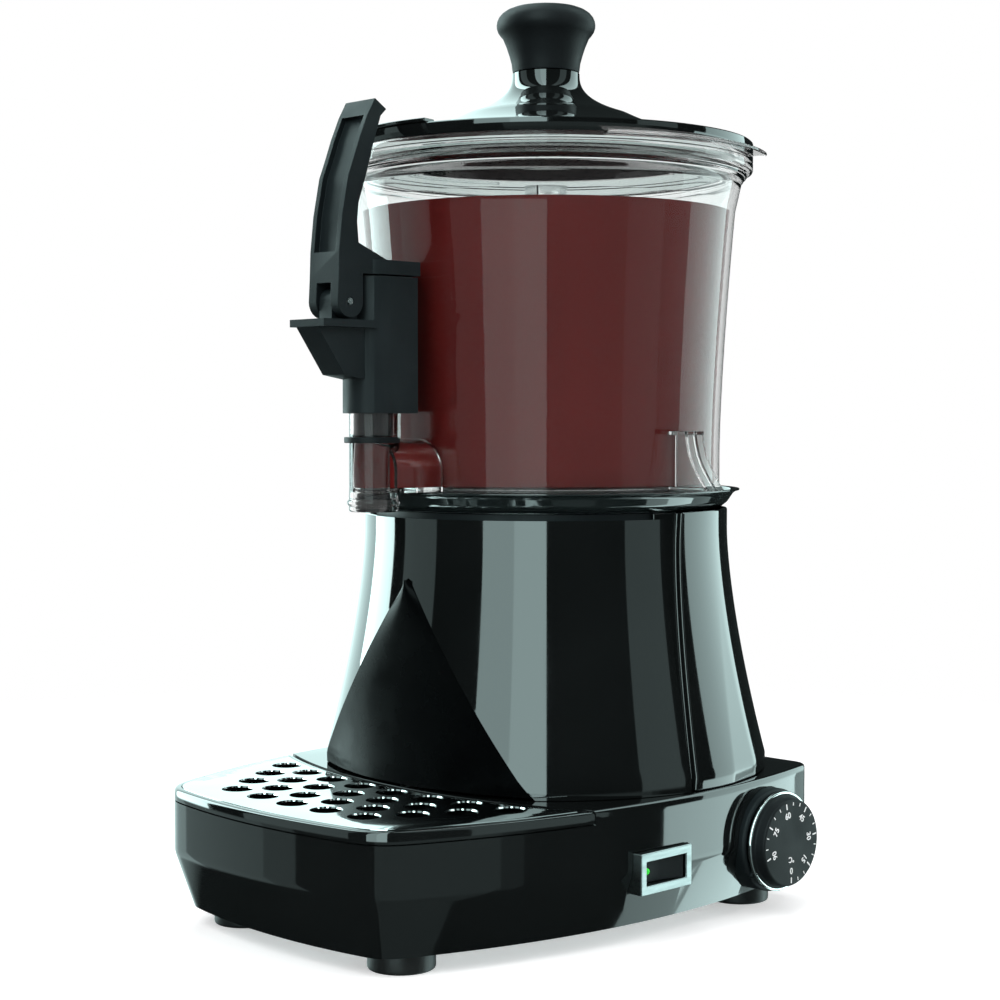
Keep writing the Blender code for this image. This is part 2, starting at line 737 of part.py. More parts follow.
def wall_inset(z):
    """How far the base's outside lies inside its widest outline at a height."""
    if z < BASE_CREASE:
        return BASE_TAPER * (BASE_CREASE - z) / (BASE_CREASE - BASE_BOTTOM)
    if z > BASE_WALL_TOP:
        return BASE_EDGE_INSET * (z - BASE_WALL_TOP) / (BASE_TOP - BASE_WALL_TOP)
    return 0.0


CORNERS = ("front_left", "front_right", "back_left", "back_right")


def boss_centre():
    """How far the column's screw bosses stand from the bowl's axis."""
    return column_radius(COLUMN_FOOT) - COLUMN_BOSS_INSET


def boss_places():
    """Centres of the four column bosses."""
    out = boss_centre()
    places = []
    for degrees in (FRONT_BOSS_DEGREES, BACK_BOSS_DEGREES):
        turn = math.radians(degrees)
        for side in (-1, 1):
            places.append((side * out * math.sin(turn), -out * math.cos(turn), 0))
    return places


def foot_places():
    return [(side * x, y, 0) for x, y in ((FRONT_FOOT_SIDE, FRONT_FOOT_Y), (BACK_FOOT_SIDE, BACK_FOOT_Y))
            for side in (-1, 1)]


POCKET_BACK = POCKET_GAP + GAP
POCKET_FLOOR = TRAY_FLOOR - GAP
PLATE_FOOT = BASE_BOTTOM + GAP
PLATE_INSET = BASE_TAPER + BASE_WALL + GAP


def build_base(machine):
    bottom = base_outline(BASE_TAPER)
    shoulder = (BASE_WALL_TOP + BASE_TOP) / 2
    shell = loft_rings(((bottom, BASE_BOTTOM), (base_outline(0), BASE_CREASE),
                        (base_outline(0), BASE_WALL_TOP),
                        (base_outline(BASE_EDGE_INSET / 4), shoulder),
                        (base_outline(BASE_EDGE_INSET), BASE_TOP)))
    housing = machine.add("base_housing", shell, BLACK, 0.12)
    ceiling = POCKET_FLOOR - BASE_WALL
    below = BASE_BOTTOM - OVERRUN
    machine.cut(housing, loft_rings(((base_outline(wall_inset(below) + BASE_WALL), below),
                                     (base_outline(wall_inset(ceiling) + BASE_WALL), ceiling))))
    rear_start = POCKET_BACK + BASE_WALL
    roof = BASE_TOP - BASE_WALL
    machine.cut(housing, loft_rings(((rear_outline(wall_inset(ceiling) + BASE_WALL, rear_start),
                                      ceiling - BASE_WALL),
                                     (rear_outline(BASE_WALL + GAP, rear_start), BASE_WALL_TOP - BASE_WALL),
                                     (rear_outline(BASE_WALL + BASE_EDGE_INSET, rear_start), roof))))
    machine.cut(housing, loft_rings(((tray_outline(BASE_WALL, POCKET_BACK), POCKET_FLOOR),
                                     (tray_outline(BASE_WALL, POCKET_BACK), BASE_TOP + OVERRUN))))
    rim = BASE_TOP - TRAY_TOP_DROP - TRAY_BAND - GAP
    machine.cut(housing, loft_rings(((tray_outline(-OVERRUN, POCKET_BACK), rim),
                                     (tray_outline(-OVERRUN, POCKET_BACK), BASE_TOP + OVERRUN))))
    machine.cut(housing, rod(DECK_HOLE_RADIUS, roof - OVERRUN, BASE_TOP + OVERRUN, steps=ROUND_STEPS))
    screw_holes = rod_group(COLUMN_SCREW_RADIUS + GAP, roof - OVERRUN, BASE_TOP + OVERRUN, boss_places())
    machine.cut(housing, screw_holes)
    machine.cut(housing, rod(BEZEL_RADIUS + GAP, BEZEL_BACK, DIAL_FACE,
                             (0, THERMOSTAT_Y, THERMOSTAT_Z), "x", INNER_STEPS))
    half_length = SWITCH_LENGTH / 2 + GAP
    half_height = SWITCH_HEIGHT / 2 + GAP
    machine.cut(housing, box((SWITCH_FACE - SWITCH_DEPTH, SWITCH_FACE + OVERRUN),
                             (SWITCH_Y - half_length, SWITCH_Y + half_length),
                             (SWITCH_Z - half_height, SWITCH_Z + half_height)))
    machine.cut(housing, rod(GLAND_RADIUS + GAP, BASE_BACK - GLAND_DEPTH, BASE_BACK + OVERRUN,
                             (GLAND_X, 0, GLAND_Z), "y"))
    add_posts(machine, housing)


def add_posts(machine, housing):
    """Screw posts over the feet: the front ones hang from the tray's pocket, the back ones have a rib."""
    low = PLATE_FOOT + PLATE_THICKNESS + GAP
    tops = (POCKET_FLOOR - BASE_WALL / 2, POCKET_FLOOR - BASE_WALL / 2, BACK_POST_TOP, BACK_POST_TOP)
    posts = bmesh.new()
    holes = bmesh.new()
    hole_top = PLATE_FOOT + FOOT_SCREW_REACH + GAP
    bore = FOOT_SCREW_RADIUS + GAP
    for place, top in zip(foot_places(), tops):
        add_turned(posts, ((0, low), (POST_RADIUS, low), (POST_RADIUS, top), (0, top)), TINY_STEPS, place)
        add_turned(holes, ((0, BASE_BOTTOM), (bore, BASE_BOTTOM), (bore, hole_top), (0, hole_top)),
                   TINY_STEPS, place)
    ribs = bmesh.new()
    for side in (-1, 1):
        ends = sorted((side * BACK_FOOT_SIDE, side * BACK_POST_RIB_END))
        corners = ((ends[0], BACK_FOOT_Y - BASE_WALL / 2), (ends[1], BACK_FOOT_Y - BASE_WALL / 2),
                   (ends[1], BACK_FOOT_Y + BASE_WALL / 2), (ends[0], BACK_FOOT_Y + BASE_WALL / 2))
        add_loft(ribs, [[Vector((a, b, z)) for a, b in corners] for z in (low, BACK_POST_RIB_TOP)])
    machine.join(housing, finish_mesh(ribs), finish_mesh(posts))
    machine.cut(housing, finish_mesh(holes))


def rod_group(radius, low, high, places, steps=TINY_STEPS):
    return many_turned(((0, low), (radius, low), (radius, high), (0, high)), places, steps)


def build_base_plate(machine):
    outline = base_outline(PLATE_INSET)
    top = PLATE_FOOT + PLATE_THICKNESS
    plate = machine.add("base_plate", loft_rings(((outline, PLATE_FOOT), (outline, top))), GREY, 0.45, 0.9)
    machine.cut(plate, rod_group(FOOT_SCREW_RADIUS + GAP, BASE_BOTTOM - OVERRUN, top + OVERRUN,
                                 foot_places()))


def build_feet(machine):
    foot_top = BASE_BOTTOM
    bore = FOOT_SCREW_RADIUS + GAP
    recess = FOOT_SCREW_HEAD_RADIUS + GAP
    foot = ((bore, foot_top), (bore, FOOT_RECESS), (recess, FOOT_RECESS), (recess, 0), (FOOT_RADIUS, 0),
            (FOOT_RADIUS, foot_top))
    machine.add_each("rubber_foot", foot, foot_places(), CORNERS, SMALL_STEPS, BLACK, 0.7)
    head_high = FOOT_RECESS - GAP
    tip = PLATE_FOOT + FOOT_SCREW_REACH
    screw = screw_profile(FOOT_SCREW_HEAD_RADIUS, FOOT_SCREW_RADIUS, head_high - FOOT_SCREW_HEAD, head_high,
                          tip)
    machine.add_each("foot_screw", screw, foot_places(), CORNERS, TINY_STEPS, STEEL, 0.35, 1.0)


def build_tray(machine):
    top = BASE_TOP - TRAY_TOP_DROP
    band = top - TRAY_BAND
    basin = BASE_WALL + RUN_GAP
    inside = basin + TRAY_WALL
    ledge = GRILLE_INSET - GAP
    ledge_z = BASE_TOP - GRILLE_THICKNESS - GAP
    rings = ((basin, 0, TRAY_FLOOR), (basin, 0, band), (0, 0, band), (0, 0, top - TRAY_EDGE),
             (TRAY_EDGE, -TRAY_EDGE, top), (ledge, -ledge, top), (ledge, -ledge, ledge_z),
             (inside, -inside, ledge_z), (inside, -inside, TRAY_FLOOR + TRAY_WALL))
    tray = loft_rings([(tray_outline(inset, offset), z) for inset, offset, z in rings])
    machine.add("drip_tray", tray, BLACK, 0.15)


def build_grille(machine):
    outline = tray_outline(GRILLE_INSET, -GRILLE_INSET)
    low = BASE_TOP - GRILLE_THICKNESS
    grille = machine.add("drip_grille", loft_rings(((outline, low), (outline, BASE_TOP))), STEEL, 0.1, 1.0)
    places = []
    for row, count in enumerate(HOLE_COUNTS_BY_ROW):
        for i in range(count):
            x = HOLE_PITCH * (i - (count - 1) / 2)
            y = row * HOLE_ROW_PITCH - HOLE_ROW_FRONT + x * x / (2 * HOLE_ROW_BOW_RADIUS)
            places.append((x, y, 0))
    machine.cut(grille, rod_group(HOLE_RADIUS, low - OVERRUN, BASE_TOP + OVERRUN, places, 12))


def column_radius(z):
    if z >= COLUMN_FLARE_START:
        return COLUMN_TOP_RADIUS
    share = (COLUMN_FLARE_START - z) / COLUMN_FLARE_HEIGHT
    return min(COLUMN_TOP_RADIUS + COLUMN_FLARE * share ** COLUMN_FLARE_POWER, COLUMN_FOOT_RADIUS)


COLUMN_FOOT = BASE_TOP + GAP
COLUMN_ROW_SHARES = (0.0, 0.04, 0.2, 0.4, 0.62, 0.85, 1.0)


def column_rows(top):
    return [COLUMN_FOOT + (top - COLUMN_FOOT) * share for share in COLUMN_ROW_SHARES]


def polar(radius, degrees):
    """A point at an angle measured from the front towards +X."""
    turn = math.radians(degrees)
    return (radius * math.sin(turn), -radius * math.cos(turn))


def build_front_shell(machine):
    rings = []
    steps = 24
    for z in column_rows(FRONT_SHELL_TOP):
        radius = column_radius(z)
        angles = [FRONT_SHELL_EDGE_DEGREES * (2 * i / steps - 1) for i in range(steps + 1)]
        outer = [polar(radius, angle) for angle in angles]
        inner = [polar(radius - SHELL_WALL, angle) for angle in reversed(angles)]
        rings.append((outer + inner, z))
    shell = machine.add("column_front_shell", loft_rings(rings), BLACK, 0.1)
    add_boss(machine, shell, FRONT_BOSS_DEGREES)
    clear = GAP / math.cos(math.atan(PANEL_SLOPE))
    window = [(0.0, PANEL_TOP + OVERRUN)]
    for z in (PANEL_TOP, COLUMN_FOOT - OVERRUN):
        window.append((PANEL_SLOPE * (PANEL_PEAK - z) + clear, z))
    outline = window + [(-x, z) for x, z in reversed(window[1:])]
    machine.cut(shell, prism(outline, -BASE_FRONT, -PANEL_BACK_CUT, "y"))


def add_boss(machine, shell, degrees):
    """Screw bosses inside a shell's foot, one each side, each with a rib to the wall."""
    bosses = bmesh.new()
    ribs = bmesh.new()
    holes = bmesh.new()
    top = COLUMN_FOOT + COLUMN_BOSS_HEIGHT
    for side in (-1, 1):
        x, y = polar(boss_centre(), side * degrees)
        solid = ((0, COLUMN_FOOT), (COLUMN_BOSS_RADIUS, COLUMN_FOOT), (COLUMN_BOSS_RADIUS, top), (0, top))
        add_turned(bosses, solid, TINY_STEPS, (x, y, 0))
        bore = COLUMN_SCREW_RADIUS + GAP
        low = COLUMN_FOOT - OVERRUN
        high = top - SHELL_WALL
        add_turned(holes, ((0, low), (bore, low), (bore, high), (0, high)), TINY_STEPS, (x, y, 0))
        out = Vector(polar(1, side * degrees))
        across = Vector((-out.y, out.x)) * COLUMN_RIB_THICKNESS / 2
        near = out * boss_centre()
        far = out * (column_radius(top) - COLUMN_RIB_INSET / 2)
        corners = (near - across, far - across, far + across, near + across)
        add_loft(ribs, [[Vector((c.x, c.y, z)) for c in corners] for z in (COLUMN_FOOT, top)])
    machine.join(shell, finish_mesh(ribs), finish_mesh(bosses))
    machine.cut(shell, finish_mesh(holes))


def back_shell_ring(z, inset):
    """Points round the back shell from one recess to the other, flattened at the machine's back."""
    radius = column_radius(z)
    share = (z - COLUMN_FOOT) / (BACK_SHELL_TOP - COLUMN_FOOT)
    edge = RECESS_EDGE_FOOT_DEGREES + (RECESS_EDGE_TOP_DEGREES - RECESS_EDGE_FOOT_DEGREES) * share
    flat = BASE_BACK - inset
    bend = 180 - math.degrees(math.acos(min(flat / (radius - inset), 1)))
    points = [polar(radius - RECESS_DEPTH - inset, RECESS_LAP_DEGREES),
              polar(radius - RECESS_DEPTH - inset, edge)]
    start = edge + RECESS_STEP_DEGREES
    steps = 13
    for i in range(steps + 1):
        points.append(polar(radius - inset, start + (bend - start) * i / steps))
    return points + [(-x, y) for x, y in reversed(points)]


def build_back_shell(machine):
    rings = []
    for z in column_rows(BACK_SHELL_TOP):
        outer = back_shell_ring(z, 0)
        inner = back_shell_ring(z, SHELL_WALL)
        rings.append((outer + list(reversed(inner)), z))
    shell = machine.add("column_back_shell", loft_rings(rings), BLACK, 0.1)
    add_boss(machine, shell, BACK_BOSS_DEGREES)


def build_column_screws(machine):
    head_high = BASE_TOP - BASE_WALL - GAP
    tip = head_high + COLUMN_SCREW_LENGTH
    profile = screw_profile(COLUMN_SCREW_HEAD_RADIUS, COLUMN_SCREW_RADIUS, head_high - COLUMN_SCREW_HEAD,
                            head_high, tip)
    machine.add_each("column_screw", profile, boss_places(), CORNERS, TINY_STEPS, STEEL, 0.35, 1.0)


def panel_middle(z):
    """How far forward the middle of the front panel stands at a height."""
    if z > PANEL_MIDDLE_Z:
        share = (z - PANEL_MIDDLE_Z) / (PANEL_TOP - PANEL_MIDDLE_Z)
        return PANEL_MIDDLE_Y + (PANEL_TOP_Y - PANEL_MIDDLE_Y) * share
    share = (PANEL_MIDDLE_Z - z) / (PANEL_MIDDLE_Z - PANEL_FOOT)
    return PANEL_MIDDLE_Y + (PANEL_FOOT_Y - PANEL_MIDDLE_Y) * share ** 2


PANEL_ROW_SHARES = (0.0, 0.15, 0.32, 0.5, 0.68, 0.84, 0.94, 1.0)


def build_front_panel(machine):
    rings = []
    steps = 12
    for share in PANEL_ROW_SHARES:
        z = PANEL_FOOT + (PANEL_TOP - PANEL_FOOT) * share
        half = PANEL_SLOPE * (PANEL_PEAK - z)
        edge = math.sqrt(column_radius(z) ** 2 - half ** 2)
        middle = panel_middle(z)
        front = []
        for i in range(steps + 1):
            across = 2 * i / steps - 1
            front.append((half * across, -(edge + (middle - edge) * (1 - across ** 2))))
        back = [(x, y + PANEL_THICKNESS) for x, y in reversed(front)]
        rings.append((front + back, z))
    machine.add("front_panel", loft_rings(rings), MATT_BLACK, 0.45)


COLLAR_FOOT = BACK_SHELL_TOP - COLLAR_HEIGHT
GUTTER_FOOT = BACK_SHELL_TOP + GAP
BOWL_FOOT = GUTTER_FOOT + GUTTER_FLOOR + GAP


def build_collar_and_gutter(machine):
    machine.add("top_collar", ring(COLLAR_INNER_RADIUS, COLLAR_RADIUS, COLLAR_FOOT, BACK_SHELL_TOP,
                                   steps=ROUND_STEPS), MATT_BLACK, 0.45)
    floor = GUTTER_FOOT + GUTTER_FLOOR
    lip = GUTTER_FOOT + GUTTER_HEIGHT
    profile = ((COLLAR_INNER_RADIUS, GUTTER_FOOT), (GUTTER_FOOT_RADIUS, GUTTER_FOOT),
               (GUTTER_NECK_RADIUS, (GUTTER_FOOT + lip) / 2),
               (GUTTER_LIP_RADIUS - GUTTER_WALL, lip - GUTTER_WALL / 2),
               (GUTTER_LIP_RADIUS, lip - GUTTER_WALL / 2), (GUTTER_LIP_RADIUS, lip),
               (GUTTER_LIP_RADIUS - GUTTER_WALL * 2, lip),
               (GUTTER_NECK_RADIUS - GUTTER_WALL, (floor + lip) / 2),
               (GUTTER_FOOT_RADIUS, floor), (COLLAR_INNER_RADIUS, floor))
    machine.add("gutter_ring", turned(profile), TEAL_BLACK, 0.12)


def build_heated_plate(machine):
    under = HEATED_PLATE_TOP - HEATED_PLATE_THICKNESS
    skirt = HEATED_PLATE_TOP - HEATED_PLATE_SKIRT
    bore = CENTRE_TUBE_RADIUS + GAP
    inner = HEATED_PLATE_RADIUS - HEATED_PLATE_THICKNESS / 2
    profile = ((bore, HEATED_PLATE_TOP), (HEATED_PLATE_RADIUS, HEATED_PLATE_TOP),
               (HEATED_PLATE_RADIUS, skirt),
               (inner, skirt), (inner, under), (bore, under))
    machine.add("heated_plate", turned(profile, INNER_STEPS), STEEL, 0.25, 1.0)
    low = BOWL_FOOT + GASKET_LIFT
    machine.add("bowl_gasket", ring(HEATED_PLATE_RADIUS + GAP, BOWL_WAIST_RADIUS - BOWL_WALL - GAP,
                                    low, low + GASKET_HEIGHT, steps=INNER_STEPS), GREY, 0.7)
    machine.add("centre_tube", ring(CENTRE_TUBE_BORE, CENTRE_TUBE_RADIUS, CENTRE_TUBE_FOOT, CENTRE_TUBE_TOP),
                STEEL, 0.2, 1.0)


def bowl_radius(z):
    if z <= BOWL_FLARE_START:
        return BOWL_WAIST_RADIUS
    share = (z - BOWL_FLARE_START) / BOWL_FLARE_HEIGHT
    return BOWL_WAIST_RADIUS + BOWL_FLARE * share ** BOWL_FLARE_POWER


BOWL_ROW_SHARES = (0.0, 0.3, 0.55, 0.8, 1.0)


def bowl_curve(inset, foot):
    """The bowl's wall from the foot to the shoulder, moved in by an inset."""
    top = BOWL_FLARE_START + BOWL_FLARE_HEIGHT
    rows = [(BOWL_WAIST_RADIUS - inset, foot)]
    for share in BOWL_ROW_SHARES:
        z = BOWL_FLARE_START + (top - BOWL_FLARE_START) * share
        rows.append((bowl_radius(z) - inset, z))
    return rows


def wedge(inner, outer, low, high, middle, half, steps=8):
    """A sector of a ring about the bowl's axis, angles in degrees from +X."""
    start = math.radians(middle - half)
    end = math.radians(middle + half)
    outline = arc((0, 0), outer, start, end, steps) + arc((0, 0), inner, end, start, steps)
    return prism(outline, low, high)


def lug_meshes(side):
    """A thin web and a wider outer flange that curves out to the gutter."""
    places = ((LUG_TOP_OUT, LUG_TOP_RISE), (LUG_MIDDLE_OUT, LUG_MIDDLE_RISE), (LUG_KNEE_OUT, LUG_KNEE_RISE),
              (LUG_FOOT_OUT, LUG_FOOT_RISE))
    reach = [(BOWL_WAIST_RADIUS + out, BACK_SHELL_TOP + rise) for out, rise in places]
    tip, top = reach[0]
    foot = reach[-1][1]
    wall = BOWL_WAIST_RADIUS - BOWL_WALL / 2
    web = [(side * x, z) for x, z in reach] + [(side * wall, foot), (side * wall, top)]
    band = [(side * x, z) for x, z in reach] + [(side * (x - LUG_WALL), z) for x, z in reversed(reach)]
    cap = ((side * wall, top - LUG_WALL), (side * tip, top - LUG_WALL), (side * tip, top), (side * wall, top))
    return (prism(web, -LUG_WALL / 2, LUG_WALL / 2, "y"), prism(band, -LUG_HALF_WIDTH, LUG_HALF_WIDTH, "y"),
            prism(cap, -LUG_HALF_WIDTH, LUG_HALF_WIDTH, "y"))


def arch(half, foot, top, steps=8):
    """A flat-footed arch outline in (x, z) with a half-round crown."""
    spring = top - half * math.sin(math.pi / 3)
    crown = [(half * math.cos(math.pi * i / steps), spring + (top - spring) * math.sin(math.pi * i / steps))
             for i in range(steps + 1)]
    return [(half, foot)] + crown + [(-half, foot)]


def build_bowl(machine):
    outer = [(0, BOWL_FOOT)] + bowl_curve(0, BOWL_FOOT)
    outer += [(BOWL_SHOULDER_RADIUS, BOWL_SHOULDER_Z), (BOWL_RIM_RADIUS, BOWL_RIM_START),
              (BOWL_RIM_RADIUS, BOWL_RIM_TOP), (0, BOWL_RIM_TOP)]
    bowl = machine.add("bowl", turned(outer), CLEAR, 0.03, 0.0, 0.35)
    duct = prism(arch(DUCT_HALF_WIDTH, DUCT_FOOT, DUCT_TOP), TAP_Y, -(BOWL_WAIST_RADIUS - BOWL_WALL / 2), "y")
    tube = rod(TUBE_RADIUS, TUBE_FOOT, TUBE_TOP, (0, TAP_Y, 0), steps=28)
    seat = rod(SEAT_RADIUS, TUBE_FOOT, SEAT_TOP, (0, TAP_Y, 0), steps=28)
    machine.join(bowl, tube, seat, duct)
    for side in (-1, 1):
        machine.join(bowl, *lug_meshes(side))
        machine.join(bowl, wedge(BOWL_RIM_RADIUS - BOWL_WALL / 2, LIP_RADIUS, BOWL_RIM_TOP - LIP_THICKNESS,
                                 BOWL_RIM_TOP, 90 - side * 90, LIP_HALF_DEGREES))
    inner = [(0, BOWL_FOOT - OVERRUN), (BOWL_WAIST_RADIUS - BOWL_WALL, BOWL_FOOT - OVERRUN)]
    inner += bowl_curve(BOWL_WALL, BOWL_FOOT)[1:]
    inner += [(BOWL_SHOULDER_RADIUS - BOWL_WALL, BOWL_SHOULDER_Z),
              (BOWL_RIM_RADIUS - BOWL_WALL, BOWL_RIM_START),
              (BOWL_RIM_RADIUS - BOWL_WALL, BOWL_RIM_TOP + OVERRUN), (0, BOWL_RIM_TOP + OVERRUN)]
    machine.cut(bowl, turned(inner))
    channel = arch(DUCT_HALF_WIDTH - DUCT_WALL, DUCT_FOOT + DUCT_WALL, DUCT_TOP - DUCT_WALL)
    mouth = arch(TUBE_BORE_RADIUS - GAP, DUCT_FOOT + DUCT_WALL, DUCT_TOP - DUCT_WALL)
    duct_end = TAP_Y + TUBE_RADIUS
    machine.cut(bowl, prism(channel, duct_end, -(BOWL_WAIST_RADIUS - BOWL_WALL - OVERRUN), "y"),
                prism(mouth, TAP_Y, duct_end + OVERRUN, "y"))
    machine.cut(bowl, rod(TUBE_BORE_RADIUS, SEAT_TOP, TUBE_TOP + OVERRUN, (0, TAP_Y, 0), steps=24))
    machine.cut(bowl, rod(SEAT_BORE_RADIUS, TUBE_FOOT - OVERRUN, SEAT_TOP + OVERRUN, (0, TAP_Y, 0), steps=24))


def bullet(radius, back, steps=14):
    """A half-round front about the tap's axis with straight sides that run back."""
    return arc((0, TAP_Y), radius, -math.pi, 0, steps) + [(radius, back), (-radius, back)]


def build_tap_housing(machine):
    body = prism(bullet(HOUSING_RADIUS, HOUSING_BACK), HOUSING_FOOT, HOUSING_TOP)
    housing = machine.add("tap_housing", body, MATT_BLACK, 0.5)
    shelf_foot = SHELF_TOP - SHELF_THICKNESS
    machine.join(housing, box((-SHELF_HALF_WIDTH, SHELF_HALF_WIDTH), (SHELF_FRONT, TAP_Y),
                              (shelf_foot, SHELF_TOP)))
    gusset = ((TAP_Y, GUSSET_FOOT - OVERRUN), (GUSSET_FRONT, GUSSET_FOOT), (SHELF_FRONT, shelf_foot + GAP),
              (TAP_Y, shelf_foot + GAP))
    machine.join(housing, prism(gusset, -GUSSET_HALF_WIDTH, GUSSET_HALF_WIDTH, "x"))
    tongue = [(LEVER_PIVOT_Y + TONGUE_RADIUS, LEVER_PIVOT_Z + TONGUE_RADIUS)]
    tongue += arc((LEVER_PIVOT_Y, LEVER_PIVOT_Z), TONGUE_RADIUS, math.pi / 2, math.pi, 6)
    tongue += [(LEVER_PIVOT_Y - TONGUE_RADIUS, shelf_foot + GAP), (TAP_Y, shelf_foot + GAP),
               (TAP_Y, LEVER_PIVOT_Z + TONGUE_RADIUS)]
    machine.join(housing, prism(tongue, -TONGUE_HALF_WIDTH, TONGUE_HALF_WIDTH, "x"))
    bore_top = HOUSING_TOP - HOUSING_ROOF
    bore = TUBE_RADIUS + HOUSING_BORE_GAP
    machine.cut(housing, rod(bore, HOUSING_FOOT - OVERRUN, bore_top, (0, TAP_Y, 0), steps=24))
    machine.cut(housing, rod(ROD_RADIUS + RUN_GAP, bore_top - OVERRUN, HOUSING_TOP + OVERRUN, (0, TAP_Y, 0)))
    pin_hole = rod(LEVER_PIN_RADIUS + GAP, -LEVER_HALF_WIDTH, LEVER_HALF_WIDTH,
                   (0, LEVER_PIVOT_Y, LEVER_PIVOT_Z), "x")
    machine.cut(housing, pin_hole)
    machine.add("tube_ring", ring(TUBE_RADIUS + GAP, TUBE_RING_RADIUS, TUBE_RING_FOOT, TUBE_RING_TOP,
                                  (0, TAP_Y, 0), steps=28), BLACK, 0.3)
    duct_slot = box((-DUCT_HALF_WIDTH, DUCT_HALF_WIDTH),
                    (TAP_Y + TUBE_RADIUS / 2, TAP_Y + TUBE_RING_RADIUS * 2),
                    (TUBE_RING_FOOT - OVERRUN, TUBE_RING_TOP + OVERRUN))
    machine.cut(bpy.data.objects["tube_ring"], duct_slot)


def lever_points(table, depth=0.0):
    """Points of the lever's side outline in (y, z), moved in by a depth."""
    tip_y = LEVER_PIVOT_Y + 2 * LEVER_EAR_RADIUS
    height = LEVER_TOP - LEVER_PIVOT_Z
    return [(tip_y - LEVER_REACH * reach + depth, LEVER_PIVOT_Z + height * rise) for reach, rise in table]


def build_lever(machine):
    pivot = (0, LEVER_PIVOT_Y, LEVER_PIVOT_Z)
    front = lever_points(LEVER_FRONT_SHARES)
    back = lever_points(LEVER_BACK_SHARES)
    low = [(LEVER_PIVOT_Y - LEVER_EAR_RADIUS, LEVER_PIVOT_Z),
           (LEVER_PIVOT_Y + LEVER_EAR_RADIUS, LEVER_PIVOT_Z)]
    corner = [(LEVER_PIVOT_Y + LEVER_EAR_RADIUS, ARM_FOOT), (TAP_Y, ARM_FOOT), (TAP_Y, ARM_TOP)]
    outline = front + low + corner + back[1:]
    lever = machine.add("tap_lever", prism(outline, -LEVER_HALF_WIDTH, LEVER_HALF_WIDTH, "x"),
                        MATT_BLACK, 0.5, origin=pivot)
    ears = rod(LEVER_EAR_RADIUS, -LEVER_HALF_WIDTH, LEVER_HALF_WIDTH, pivot, "x", 24)
    arm = prism(bullet(ARM_RADIUS, ARM_BACK), ARM_FOOT, ARM_TOP)
    machine.join(lever, ears, arm)
    slot = TONGUE_HALF_WIDTH + LEVER_SLOT_GAP
    machine.cut(lever, box((-slot, slot), (SHELF_FRONT, TAP_Y - ROD_RADIUS - ARM_LEDGE),
                           (LEVER_PIVOT_Z - LEVER_EAR_RADIUS - OVERRUN, LEVER_PIVOT_Z + LEVER_SLOT_RISE)))
    groove = [point for point in lever_points(LEVER_FRONT_SHARES, GROOVE_DEPTH)
              if GROOVE_FOOT < point[1] < GROOVE_TOP]
    outside = [(y - GROOVE_DEPTH - OVERRUN, z) for y, z in reversed(groove)]
    machine.cut(lever, prism(groove + outside, -GROOVE_HALF_WIDTH, GROOVE_HALF_WIDTH, "x"))
    ledge = ARM_FOOT + ARM_LEDGE
    roof = ARM_TOP - ARM_ROOF
    machine.cut(lever, box((-ARM_SLOT_HALF_WIDTH, ARM_SLOT_HALF_WIDTH), (ARM_SLOT_FRONT, ARM_SLOT_BACK),
                           (ARM_FOOT - OVERRUN, roof)))
    machine.cut(lever, box((-ARM_PIN_HALF_WIDTH, ARM_PIN_HALF_WIDTH), (ARM_SLOT_FRONT, ARM_SLOT_BACK),
                           (ledge, roof)))
    machine.cut(lever, rod(LEVER_PIN_RADIUS + GAP, -LEVER_HALF_WIDTH - OVERRUN, LEVER_HALF_WIDTH + OVERRUN,
                           pivot, "x"))
    machine.add("lever_pin", rod(LEVER_PIN_RADIUS, -LEVER_HALF_WIDTH, LEVER_HALF_WIDTH, pivot, "x",
                                 TINY_STEPS),
                STEEL, 0.3, 1.0, origin=pivot)


def build_piston(machine):
    centre = (0, TAP_Y, 0)
    rod_top = CROSS_PIN_Z + ROD_ABOVE_PIN
    groove = ORING_RADIUS - ORING_GROOVE
    profile = ((0, PISTON_HEAD_FOOT), (PISTON_HEAD_RADIUS, PISTON_HEAD_FOOT),
               (PISTON_HEAD_RADIUS, ORING_FOOT - GAP),
               (groove - GAP, ORING_FOOT - GAP), (groove - GAP, ORING_TOP + GAP),
               (PISTON_HEAD_RADIUS, ORING_TOP + GAP), (PISTON_HEAD_RADIUS, PISTON_HEAD_TOP),
               (STEM_RADIUS, PISTON_HEAD_TOP), (STEM_RADIUS, PISTON_FOOT), (PISTON_RADIUS, PISTON_FOOT),
               (PISTON_RADIUS, PISTON_TOP), (ROD_RADIUS, PISTON_TOP), (ROD_RADIUS, rod_top), (0, rod_top))
    piston = machine.add("tap_piston", turned(profile, 24, centre), MATT_BLACK, 0.4, origin=centre)
    pin_place = (0, TAP_Y, CROSS_PIN_Z)
    machine.cut(piston, rod(CROSS_PIN_RADIUS + GAP, -PISTON_RADIUS, PISTON_RADIUS, pin_place, "x",
                            TINY_STEPS))
    machine.add("piston_cross_pin", rod(CROSS_PIN_RADIUS, -CROSS_PIN_HALF_LENGTH, CROSS_PIN_HALF_LENGTH,
                                        pin_place, "x", TINY_STEPS), STEEL, 0.3, 1.0, origin=centre)
    machine.add("piston_oring", ring(groove, ORING_RADIUS, ORING_FOOT, ORING_TOP, centre, steps=24),
                MATT_BLACK, 0.8, origin=centre)


